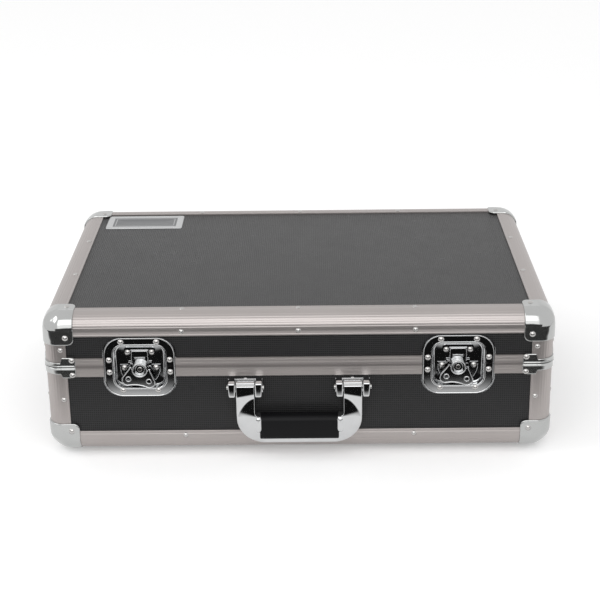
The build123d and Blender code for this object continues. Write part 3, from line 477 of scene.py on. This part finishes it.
chrome, shader, place = new_material("bright_chrome", Metallic=1.0)
haze = place.noise(60.0, 4.0)
haze.shade((0.53, 0.535, 0.54), (0.64, 0.645, 0.65)).into(shader, "Base Color")
(0.045 + haze * 0.05).into(shader, "Roughness")
upper, lower = half_dish(flange_h=34.1, tub_h=24.6), half_dish(flange_h=35.7, tub_h=25.4)
for side, x in (("left", -LATCH_X), ("right", LATCH_X)):
    shaped(f"{side}_upper_pressed_dish", placed(upper, shift=(x, FRONT, PARTING)),
           chrome, "lid", [f"{side}_latch_upper_dish"], crease=50)
    shaped(f"{side}_lower_pressed_dish", placed(lower, (1, 1, -1), (x, FRONT, PARTING)),
           chrome, "base", [f"{side}_latch_lower_dish"], crease=50)


# Latch mechanisms: stamped base plate, hook and keeper, a turned boss on its
# rivet and a folding wing, all chromed. Rolled edges on the wing and rings
# round its two holes catch the light.
BOSS_Z = PARTING - 3.6
WING_TILT = math.radians(8)


def wire(path, radius, closed=True, sides=10):
    """A round bead: centre(i) + radius (cos t * across + sin t * out), along a path
    in the plane of the latch's face."""
    path = np.asarray(path, float)
    ahead = np.roll(path, -1, 0) - np.roll(path, 1, 0)
    if not closed:
        ahead[0], ahead[-1] = path[1] - path[0], path[-1] - path[-2]
    ahead /= np.linalg.norm(ahead, axis=1, keepdims=True)
    out = np.array([0.0, -1.0, 0.0])
    across = np.cross(ahead, out)
    turn = np.linspace(0, 2 * math.pi, sides, endpoint=False)[None, :, None]
    points = path[:, None] + radius * (np.cos(turn) * across[:, None] + np.sin(turn) * out)
    faces = [list(f) for f in quads(len(path), sides, closed, True)]
    if not closed:
        faces += [list(range(sides)), [(len(path) - 1) * sides + k for k in range(sides)][::-1]]
    return points.reshape(-1, 3), faces


def circle(x, z, radius, y, count=40, start=0.0, sweep=2 * math.pi):
    """Points round a circle, or part of one, in the plane of the latch's face."""
    turn = start + np.linspace(0, sweep, count, endpoint=sweep < 6.28)
    return np.column_stack([x + radius * np.cos(turn), np.full(count, y), z + radius * np.sin(turn)])


def wing_edge(inset, y):
    """The heart's edge: flank lines that touch the lobes, the lobes' arcs and the
    shallow arc that dips between them, drawn inset from it."""
    lobe_x, lobe_z, lobe_r, dip_r = 11.6, -13.4, 7.2, 34.6
    shoulder = np.array((11.4 - inset, y, 1.2))
    right = circle(lobe_x, lobe_z, lobe_r - inset, y, 26, math.radians(24), -math.radians(114))
    sag = math.sqrt(dip_r**2 - lobe_x**2)
    x = np.linspace(lobe_x, -lobe_x, 16)[1:-1]
    z = lobe_z - lobe_r - sag + np.sqrt(dip_r**2 - x**2) + inset
    bottom = np.column_stack([x, np.full(len(x), y), z])
    left = circle(-lobe_x, lobe_z, lobe_r - inset, y, 26, math.radians(-90), -math.radians(114))
    steps = np.linspace(0, 1, 8)[1:-1, None]
    right_flank = shoulder + (right[0] - shoulder) * steps
    left_flank = left[-1] + (shoulder * (-1, 1, 1) - left[-1]) * steps
    return np.vstack([[shoulder], right_flank, right, bottom, left, left_flank, [shoulder * (-1, 1, 1)]])


def tilted(part):
    """Turns a piece of the wing about the boss."""
    points, faces = part
    c, s = math.cos(WING_TILT), math.sin(WING_TILT)
    turned = np.array([[c, 0, s], [0, 1, 0], [-s, 0, c]])
    return points @ turned.T, faces


dress([f"{side}_latch_{part}" for side in ("left", "right") for part in ("cam", "wing", "hook")], chrome)
dress(["latch_keepers", "latch_base_plates"], chrome)
wing_beads = [wire(wing_edge(inset=0.75, y=-1.5), radius=0.62, closed=False)]
wing_beads += [wire(circle(11.3 * s, -12.3, radius=2.7, y=-1.45), radius=0.55) for s in (-1, 1)]
boss_rings = [wire(circle(0, 0, radius=7.75, y=-1.6, count=56), radius=0.75),
              wire(circle(0, 0, radius=5.2, y=1.05), radius=0.5)]
hook_half = [(-9.0, 5.2), (-9.0, 9), (-9.0, 13), (-9.0, 17), (-8.7, 19.6), (-7.6, 20.3), (-4, 20.3)]
hook_outline = hook_half + [(0, 20.3)] + [(-a, b) for a, b in hook_half[::-1]]
hook_bead = wire([(a, 4.35, b) for a, b in hook_outline], radius=0.45, closed=False)
ears = [circle(0, 0, radius=21.7, y=5.7, count=22, start=math.radians(start), sweep=math.radians(50))
        for start in (-48, 178)]
plate_beads = [wire(ear, radius=0.45, closed=False) for ear in ears]
for side, x in (("left", -LATCH_X), ("right", LATCH_X)):
    for name, part, body in (("wing_beads", tilted(joined(wing_beads)), f"{side}_wing"),
                             ("boss_rim", joined(boss_rings), f"{side}_cam"),
                             ("hook_bead", hook_bead, f"{side}_hook"),
                             ("plate_beads", joined(plate_beads), "base")):
        shaped(f"{side}_{name}", placed(part, shift=(x, FRONT, BOSS_Z)),
               chrome, body, crease=80)


# Handle: a zinc casting, chromed, that hangs on two pins between the lugs of
# its brackets. Its arms are scooped below their barrels and thicken towards
# the black grip, which is moulded round the bar between them.
ARM_X, PIN_Y, PIN_Z = 59.0, -192.3, 88.4
BAIL_TOP, BAR_FRONT, BAIL_BACK = 92.6, -198.6, -190.0


def arm_front(inward, z):
    """Depth of an arm's front at a height, from 0 at its outer edge to 1 at its inner.
    Its slope steps at its foot, at the scoop's curved edge and below the flat block
    round the pin; each step adds slope * w ln(1 + exp((z - step) / w))."""
    foot = 56.6 - 2.4 * (1 - inward)
    scoop = foot + 0.7 + 20.2 * (1 - (1 - inward) ** 2)
    block = 79.0 + 4.0 * inward

    def bend(edge, w):
        return w * np.logaddexp(0, (z - edge) / w)

    def depth(at_foot, at_scoop, at_block):
        return 0.105 * at_foot - 0.195 * at_scoop + 0.125 * at_block

    at_pin = depth(PIN_Z - foot, PIN_Z - scoop, PIN_Z - block)
    return -199.1 - at_pin + depth(bend(foot, 0.35), bend(scoop, 0.3), bend(block, 0.4))


def half_bail():
    """The right half, from the pin down the arm and along the bar: the outer and
    inner outlines, joined across by a front that rolls over at both edges."""
    def arc(cx, cz, r, start, end, count):
        turn = np.radians(np.linspace(start, end, count))
        return np.column_stack([cx + r * np.cos(turn), cz + r * np.sin(turn)])

    outer_x, inner_x, bar_x = 69.3, 48.7, (33, 26, 18, 9, 0)
    outer_roll, inner_roll, top_roll = 1.7, 1.2, 1.3
    arm_z = [BAIL_TOP - np.array([0, 0.1, 0.35, 0.75, top_roll]), np.linspace(90.8, 62, 58)]
    outer = [[(outer_x, z) for z in np.concatenate(arm_z + [np.linspace(61.2, 54.8, 9)])],
             arc(39.3, 53.6, 30, 0, -90, 30), [(x, 23.6) for x in bar_x]]
    inner = [[(inner_x, z) for z in np.concatenate(arm_z)], arc(43.7, 61, 5, 0, -90, 12)[1:],
             [(43.7, z) for z in np.linspace(54.5, 38, 28)], [(x, 38) for x in bar_x]]
    outer, inner = np.vstack(outer), np.vstack(inner)
    width = np.linalg.norm(outer - inner, axis=1)[:, None]
    roll = np.array([0, 0.08, 0.25, 0.5, 0.8, 1.2, outer_roll])
    between = (width - outer_roll - inner_roll) * np.linspace(0, 1, 22)[None, 1:-1]
    across = np.concatenate([np.repeat(roll[None], len(width), 0), outer_roll + between,
                             width - roll[None, ::-1] * (inner_roll / outer_roll)], 1)
    share = (across / width)[..., None]
    flat = outer[:, None] * (1 - share) + inner[:, None] * share
    inward = np.clip(share[..., 0], 0, 1)
    edge = np.minimum(across / outer_roll, (width - across) / inner_roll)
    drop = 1.4 * (1 - quarter_round(np.minimum(edge, (BAIL_TOP - flat[..., 1]) / top_roll)))
    on_arm = smooth((flat[..., 0] - 36) / 14)
    front = arm_front(inward, flat[..., 1]) * on_arm + BAR_FRONT * (1 - on_arm) + drop
    back = BAIL_BACK - drop
    face = np.stack([flat[..., 0], front, flat[..., 1]], -1)
    rear = np.stack([flat[..., 0], back, flat[..., 1]], -1)[:, ::-1]
    loop = np.concatenate([face, rear], 1)
    rows, columns = loop.shape[:2]
    faces = [list(f) for f in quads(rows, columns, round_columns=True)]
    return loop.reshape(-1, 3), faces + [list(range(columns))]


def lathe(profile, sides=48, grooves=()):
    """Turns (x, r) pairs about the X axis; a groove at an angle takes
    0.5 exp(-((angle - groove) / 3.5)^2) off the radius outside the bore."""
    profile = np.asarray(profile, float)
    turn = np.linspace(0, 360, sides, endpoint=False)
    cut = sum(0.5 * np.exp(-((turn - groove) / 3.5) ** 2) for groove in grooves) + np.zeros(sides)
    r = np.maximum(profile[:, 1:] - cut * (profile[:, 1:] > 3.2), 0)
    angle = np.radians(turn)[None]
    points = np.stack([np.repeat(profile[:, :1], sides, 1), -r * np.cos(angle), r * np.sin(angle)], -1)
    return points.reshape(-1, 3), [list(f)[::-1] for f in quads(len(profile), sides, round_columns=True)]


def pillow(outline, low, high, edge):
    """A closed outline (y, z) carried along X and drawn in at its ends by
    e = edge (1 - sqrt(1 - u^2)) towards its middle."""
    outline = np.asarray(outline, float)
    middle = outline.mean(0)
    u = np.array([1, 0.985, 0.93, 0.8, 0.6, 0.3, 0])
    ends = edge * (1 - np.sqrt(1 - u * u))
    x = np.concatenate([low + edge * (1 - u), high - edge * (1 - u[::-1])])
    inset = np.concatenate([ends, ends[::-1]])
    away = outline - middle
    far = np.linalg.norm(away, axis=1, keepdims=True)
    rings = middle + away[None] * (1 - inset[:, None, None] / far[None])
    points = np.concatenate([np.repeat(x[:, None, None], len(outline), 1), rings], -1)
    count = len(outline)
    faces = [list(f) for f in quads(len(x), count, round_columns=True)]
    faces += [list(range(count)), list(range((len(x) - 1) * count, len(x) * count))[::-1]]
    return points.reshape(-1, 3), faces


def mirrored(part):
    """A part and its copy on the other side of X = 0."""
    return [part, placed(part, (-1, 1, 1))]


def on_pins(part):
    """Two copies of a part drawn about the pin, one at each arm."""
    return [placed(part, shift=(sx * ARM_X, PIN_Y, PIN_Z)) for sx in (-1, 1)]


def rounded_outline(corners, count=7):
    """A polygon of (y, z, radius) with each corner turned through an arc."""
    corners = np.asarray(corners, float)
    made = []
    for k, (y, z, r) in enumerate(corners):
        here = np.array([y, z])
        to_last = corners[k - 1, :2] - here
        to_next = corners[(k + 1) % len(corners), :2] - here
        to_last, to_next = to_last / np.linalg.norm(to_last), to_next / np.linalg.norm(to_next)
        half = math.acos(np.clip(to_last @ to_next, -1, 1)) / 2
        centre = here + (to_last + to_next) / np.linalg.norm(to_last + to_next) * (r / math.sin(half))
        start, end = here + to_last * r / math.tan(half), here + to_next * r / math.tan(half)
        steps = np.linspace(0, 1, count)[:, None]
        chord = (start - centre) * (1 - steps) + (end - centre) * steps
        made.append(centre + r * chord / np.linalg.norm(chord, axis=1, keepdims=True))
    return np.vstack(made)


barrel_end = [(9.8, 6.4), (10.15, 6.25), (10.3, 5.9), (10.3, 2.6)]
barrel = lathe([(-x, r) for x, r in barrel_end[::-1]] + barrel_end, sides=120, grooves=(62, 98))
collar = rounded_outline([(-201.7, 56.4, 4.5), (-201.7, 36, 4.5), (-185.6, 36, 4.5), (-185.6, 56.4, 4.5)])
collar = pillow(collar[::-1], low=41.5, high=48.9, edge=3.2)
shaped("handle_cast_bail", joined(mirrored(half_bail()) + mirrored(collar) + on_pins(barrel)),
       chrome, "handle", ["handle_bail"], crease=45)

lug = rounded_outline([(9.1, 6.8, 0.3), (-9.3, 8.6, 1.6), (-9.5, -8.8, 2.8), (9.1, -9.6, 0.3)])[::-1]
lug, lug_faces = pillow(lug, low=11.0, high=18.9, edge=1.5)
lug[:, 0] -= np.clip(lug[:, 0] - 13, 0, 9) * (8.6 - lug[:, 2]) * 0.009
plate = rounded_outline([(9.15, 6.9, 0.3), (7.6, 6.9, 0.5), (7.6, -9.8, 0.5), (9.15, -9.8, 0.3)])[::-1]
plate = pillow(plate, low=-18.9, high=18.9, edge=0.4)
bracket = joined(mirrored((lug, lug_faces)) + [plate])
shaped("handle_lug_brackets", joined(on_pins(bracket)),
       chrome, "base", ["handle_brackets"], crease=45)

grip_finish, shader, place = new_material("grip_plastic", Specular_IOR_Level=0.12)
pores = place.noise(1500.0, 2.0)
pores.shade((0.0035, 0.0035, 0.004), (0.008, 0.008, 0.009)).into(shader, "Base Color")
(0.36 + pores * 0.12).into(shader, "Roughness")
pores.emboss(shader, 0.00008)
sleeve = [(-200.6, 55.9, 6.3), (-200.6, 28.2, 3.6), (-184.5, 28.2, 3.6), (-184.5, 55.9, 6.3)]
sleeve = pillow(rounded_outline(sleeve, 12)[::-1], low=-43.6, high=43.6, edge=1.1)
shaped("handle_grip_sleeve", sleeve, grip_finish, "handle", ["handle_grip"], crease=45)

pin_steel, shader, place = new_material("turned_steel", Metallic=1.0)
turned = place.noise(900.0, 2.0)
turned.shade((0.42, 0.42, 0.41), (0.54, 0.54, 0.53)).into(shader, "Base Color")
(0.22 + turned * 0.14).into(shader, "Roughness")
dress(["handle_pins", "hinge_pins"], pin_steel)


# Hinges: zinc-plated steel leaves, riveted flat to the backs of the lid and the
# base, with five rolled knuckles between them that turn on a headed pin.
zinc, shader, place = new_material("zinc_plate", Metallic=0.95)
bloom = place.noise(45.0, 6.0, 0.7)
grain = place.noise(800.0, 2.0)
spangle = bloom * 0.7 + grain * 0.3
spangle.shade((0.42, 0.43, 0.44), (0.60, 0.605, 0.61)).into(shader, "Base Color")
(0.24 + bloom * 0.16 + grain * 0.06).into(shader, "Roughness")
bloom.emboss(shader, 0.00008)
dress(["hinge_base_leaves", "hinge_lid_leaves"], zinc)


# Feet: low rubber cones, narrower at the floor, moulded round a pocket for the
# screw that holds each to the bottom panel.
rubber, shader, place = new_material("foot_rubber", Specular_IOR_Level=0.3)
bloom = place.noise(160.0, 5.0, 0.7)
bloom.shade((0.008, 0.008, 0.008), (0.030, 0.029, 0.028)).into(shader, "Base Color")
(0.62 + bloom * 0.25).into(shader, "Roughness")
bloom.emboss(shader, 0.00025)
dress(["rubber_feet"], rubber)


# Name plate: a pressed aluminium frame with a rounded bevel on both sides of
# its border, bonded flat to the lid's laminate, round a blank satin field with
# a fine raised line inside its edge.
PLATE_X, PLATE_Y = (-247.0, -150.0), (114.1, 162.7)


def plate_frame():
    """Rectangles shrunk from the plate's edge to its middle: height goes up the
    bevel, over the crown, down to the field, over the fine line and flat."""
    seat = TOP - 1.6
    turn = np.linspace(0, math.pi / 2, 6)
    border = [(0, 0), (0, 0.35), (0.35, 0.75), (1.2, 0.95), (3.4, 1.0), (5.6, 0.95), (7.0, 0.75), (8.0, 0.42)]
    field = [(8.2, 0.36), (10.6, 0.36), (10.9, 0.50), (11.6, 0.50), (11.9, 0.36), (24.0, 0.36)]
    rows = []
    for inset, rise in border + field:
        x0, x1 = PLATE_X[0] + inset, PLATE_X[1] - inset
        y0, y1 = PLATE_Y[0] + inset, PLATE_Y[1] - inset
        r = max(2.4 - 0.25 * inset, 0.3)
        centres = [(x1 - r, y1 - r), (x0 + r, y1 - r), (x0 + r, y0 + r), (x1 - r, y0 + r)]
        for quarter, (cx, cy) in enumerate(centres):
            angle = turn + quarter * math.pi / 2
            ring = [cx + r * np.cos(angle), cy + r * np.sin(angle), np.full(len(angle), seat + rise)]
            rows.append(np.column_stack(ring))
    count, levels = 4 * len(turn), len(rows) // 4
    faces = [list(f)[::-1] for f in quads(levels, count, round_columns=True)]
    faces += [[(levels - 1) * count + k for k in range(count)], list(range(count))[::-1]]
    return np.vstack(rows), faces


plate_finish, shader, place = new_material("plate_metal", Metallic=0.85)
x, y, _ = axes_of(place)
from_edges = [(high - low) / 2 * MM - abs(v - (low + high) / 2 * MM)
              for v, (low, high) in ((x, PLATE_X), (y, PLATE_Y))]
from_edge = x.maths("MINIMUM", *from_edges)
field = from_edge.between(0.0078, 0.0083)
line = from_edge.between(0.0106, 0.0109) * (1 - from_edge.between(0.0116, 0.0119))
speck = place.noise(500.0, 2.0)
dark = field - line * 0.8 - speck * 0.08
dark.shade((0.50, 0.505, 0.51), (0.17, 0.172, 0.178)).into(shader, "Base Color")
(0.24 + speck * 0.1 + field * 0.12).into(shader, "Roughness")
shaped("blank_name_plate", plate_frame(), plate_finish, "lid", ["name_plate"], crease=60)


# Lining: black closed-cell foam glued in, its cut edges a little rounded: a
# floor slab, wall strips, a divider between the player and the leads, and an
# egg-crate pad in the lid that presses down on them.
LINING_W, LINING_D = 263.3, 171.3
WALL_IN_W, WALL_IN_D = 245.4, 153.4
FLOOR_Z, WALL_Z, PAD_Z = (18.4, 28.4), (28.5, 102.4), (147.6, 159.6)
DIVIDER_W, DIVIDER_Y, DIVIDER_Z = 245.0, (108.7, 123.7), (28.7, 102.4)


def foam_block(x, y, z, edge, step, cut=None):
    """A box between (low, high) pairs with each edge rounded, c + edge (p - c)/|p - c|
    with c the nearest point of its core; cut moves the points of its faces."""
    low, high = (np.array(v, float) for v in zip(x, y, z))
    parts = []
    for axis in range(3):
        a, b = [k for k in range(3) if k != axis]
        runs = []
        for k in (a, b):
            rim = edge * (1 - np.cos(np.linspace(0, math.pi / 2, 5)))
            count = max(int((high[k] - low[k] - 2 * edge) / step), 2)
            middle = np.linspace(low[k] + edge, high[k] - edge, count + 1)
            runs.append(np.concatenate([low[k] + rim[:-1], middle, high[k] - rim[-2::-1]]))
        u, v = np.meshgrid(*runs, indexing="ij")
        for level, outward in ((low[axis], False), (high[axis], True)):
            p = np.zeros(u.shape + (3,))
            p[..., a], p[..., b], p[..., axis] = u, v, level
            core = np.clip(p, low + edge, high - edge)
            away = p - core
            p = core + edge * away / np.linalg.norm(away, axis=-1, keepdims=True)
            if cut:
                p = cut(p, axis, outward)
            faces = quads(*u.shape)
            if (axis == 1) == outward:
                faces = faces[:, ::-1]
            parts.append((p, faces))
    return joined(parts)


def settled(p, axis, outward):
    """Soft foam: the faces sink by 0.4 mm less a wander of long waves, the more the
    nearer they are to the top."""
    x, y, z = p[..., 0], p[..., 1], p[..., 2]
    wander = 0.22 * np.sin(x / 23 + y / 31 + 0.7) + 0.16 * np.sin(x / 9.5 - y / 14 + z / 17)
    p = p.copy()
    p[..., 2] -= (0.4 - wander) * np.clip((z - 40) / 40, 0, 1)
    return p


def egg_crate(p, axis, outward):
    """Rounded peaks on the underside: it rises by 7.6 (1 - (0.5 + 0.5 sin X sin Y)^0.8),
    which fades out from 15 to 3 mm from the pad's edge."""
    if axis != 2 or outward:
        return p
    x, y = p[..., 0], p[..., 1]
    rise = 0.5 + 0.5 * np.sin(2 * math.pi * x / 35.1) * np.sin(2 * math.pi * (y - MIDDLE_Y) / 34.2)
    near = np.minimum(LINING_W - np.abs(x), LINING_D - np.abs(y - MIDDLE_Y))
    p = p.copy()
    p[..., 2] += 7.6 * (1 - rise ** 0.8) * smooth((near - 3) / 12)
    return p


foam_finish, shader, place = new_material("black_foam", Specular_IOR_Level=0.15)
cells = place.noise(900.0, 4.0, 0.75)
clouds = place.noise(16.0)
pores = cells * 0.75 + clouds * 0.25
pores.shade((0.006, 0.006, 0.0065), (0.040, 0.040, 0.042)).into(shader, "Base Color")
(0.88 + cells * 0.1).into(shader, "Roughness")
cells.emboss(shader, 0.0007)
around_x, around_y = (-LINING_W, LINING_W), (MIDDLE_Y - LINING_D, MIDDLE_Y + LINING_D)
between_y = (MIDDLE_Y - WALL_IN_D + 0.2, MIDDLE_Y + WALL_IN_D - 0.2)
walls = []
for sign in (-1, 1):
    y = sorted((MIDDLE_Y + sign * WALL_IN_D, MIDDLE_Y + sign * LINING_D))
    x = sorted((sign * WALL_IN_W, sign * LINING_W))
    walls.append(foam_block(around_x, y, WALL_Z, edge=3.0, step=9, cut=settled))
    walls.append(foam_block(x, between_y, WALL_Z, edge=3.0, step=9, cut=settled))
slab = foam_block(around_x, around_y, FLOOR_Z, edge=2.0, step=12)
divider = foam_block((-DIVIDER_W, DIVIDER_W), DIVIDER_Y, DIVIDER_Z, edge=3.0, step=9, cut=settled)
crate = foam_block(around_x, around_y, PAD_Z, edge=2.5, step=3.2, cut=egg_crate)
for name, part, body, node in (("foam_floor_slab", slab, "base", "base_foam_floor"),
                               ("foam_wall_strips", joined(walls), "base", "base_foam_walls"),
                               ("foam_divider_strip", divider, "base", "foam_divider"),
                               ("egg_crate_lid_pad", crate, "lid", "lid_foam_pad")):
    piece = shaped(name, part, foam_finish, body, [node], crease=75)


# Camera, floor and light: the photograph's own camera, white paper under a white
# sky, two soft lamps, and a black and a lit card that only reflections see.
AMBIENT = 0.80
CAMERA_RAY, GLOSSY_RAY, TRANSMISSION_RAY = 0, 3, 6
WHITE = (1, 1, 1, 1)


def oriented(thing, right, up, back, spot):
    """Adds a camera or lamp to the scene, by its own axes and its spot."""
    turned = np.eye(4)
    turned[:3, 0], turned[:3, 1], turned[:3, 2], turned[:3, 3] = right, up, back, spot
    bpy.context.collection.objects.link(thing)
    thing.matrix_world = [list(row) for row in turned.T]


def place_camera(spot):
    """Looks 21.6 degrees down, a little to the left and a little rolled."""
    tilt, yaw, roll = (math.radians(v) for v in (21.563, -0.599, -0.756))
    ahead = np.array([math.sin(yaw) * math.cos(tilt), math.cos(yaw) * math.cos(tilt), -math.sin(tilt)])
    right = np.array([math.cos(yaw), -math.sin(yaw), 0.0])
    down = -np.cross(right, ahead)
    right = math.cos(roll) * right - math.sin(roll) * down
    data = bpy.data.cameras.new("camera")
    data.lens, data.sensor_width = 88.6038, 36.0
    data.clip_start, data.clip_end = 0.05, 60.0
    camera = bpy.data.objects.new("camera", data)
    oriented(camera, right, -np.cross(ahead, right), -ahead, spot)
    bpy.context.scene.camera = camera


def soft_lamp(name, spot, aim, wide, tall, power):
    """An area lamp that looks from its spot towards its aim."""
    data = bpy.data.lights.new(name, "AREA")
    data.shape, data.size, data.size_y, data.energy = "RECTANGLE", wide, tall, power
    back = np.array(spot, float) - np.array(aim, float)
    back /= np.linalg.norm(back)
    side = np.cross((0, 0, 1), back)
    side /= np.linalg.norm(side)
    lamp = bpy.data.objects.new(name, data)
    oriented(lamp, side, np.cross(back, side), back, spot)
    lamp.visible_camera = False


def staged(name, corners, material, reflections_only=True):
    """A four-cornered sheet of the stage, which isn't part of the object."""
    mesh = bpy.data.meshes.new(name)
    mesh.from_pydata(corners, [], [(0, 1, 2, 3)])
    mesh.materials.append(material)
    sheet = bpy.data.objects.new(name, mesh)
    bpy.context.collection.objects.link(sheet)
    if reflections_only:
        sheet.visible_camera = sheet.visible_diffuse = False
        sheet.visible_shadow = sheet.visible_transmission = False


place_camera((0.017744, -1.66356, 0.77248))

world = bpy.data.worlds.new("studio")
world.use_nodes = True
bpy.context.scene.world = world
sky = world.node_tree.nodes["Background"]
rays = Wire(world.node_tree)
seen = rays.node("ShaderNodeLightPath", output=CAMERA_RAY)
for ray in (GLOSSY_RAY, TRANSMISSION_RAY):
    seen = seen.maths("MAXIMUM", seen, seen.node("ShaderNodeLightPath", output=ray))
sky.inputs["Color"].default_value = WHITE
(seen * (1 - AMBIENT) + AMBIENT).into(sky, "Strength")

paper, _, _ = new_material("white_paper", Roughness=0.9, Specular_IOR_Level=0.1,
                           Base_Color=(0.86, 0.86, 0.86, 1),
                           Emission_Color=WHITE, Emission_Strength=0.25)
staged("floor", [(-9, -9, 0), (9, -9, 0), (9, 9, 0), (-9, 9, 0)], paper, reflections_only=False)

soft_lamp("front_lamp", (-0.1, -2.1, 1.75), (0, -0.1, 0.1), wide=2.5, tall=1.5, power=21)
soft_lamp("left_lamp", (-2.2, -0.6, 1.9), (0, 0, 0.1), wide=1.2, tall=1.2, power=9)

velvet, shader, place = new_material("black_velvet", Roughness=1.0, Specular_IOR_Level=0.0,
                                     Base_Color=(0.008, 0.008, 0.008, 1))
_, deep, _ = axes_of(place)
clear = place.node("ShaderNodeBsdfTransparent")
cloth = Wire(place.tree, shader.outputs[0])
faded = (0.0 - deep).between(0.305, 0.395)
shown = faded.node("ShaderNodeMixShader", None, {0: faded, 1: clear, 2: cloth})
shown.into(velvet.node_tree.nodes["Material Output"], "Surface")
staged("black_card", [(-3.5, -4.5, 0.001), (3.5, -4.5, 0.001), (3.5, -0.30, 0.001), (-3.5, -0.30, 0.001)],
       velvet)

lit, _, _ = new_material("lit_card", Roughness=1.0, Specular_IOR_Level=0.0, Base_Color=(0, 0, 0, 1),
                         Emission_Color=WHITE, Emission_Strength=1.7)
staged("white_card", [(-1.35, -3.3, 0.22), (1.15, -3.3, 0.22), (1.15, -2.58, 1.17), (-1.35, -2.58, 1.17)],
       lit)

scene = bpy.context.scene
scene.view_settings.view_transform = "Standard"
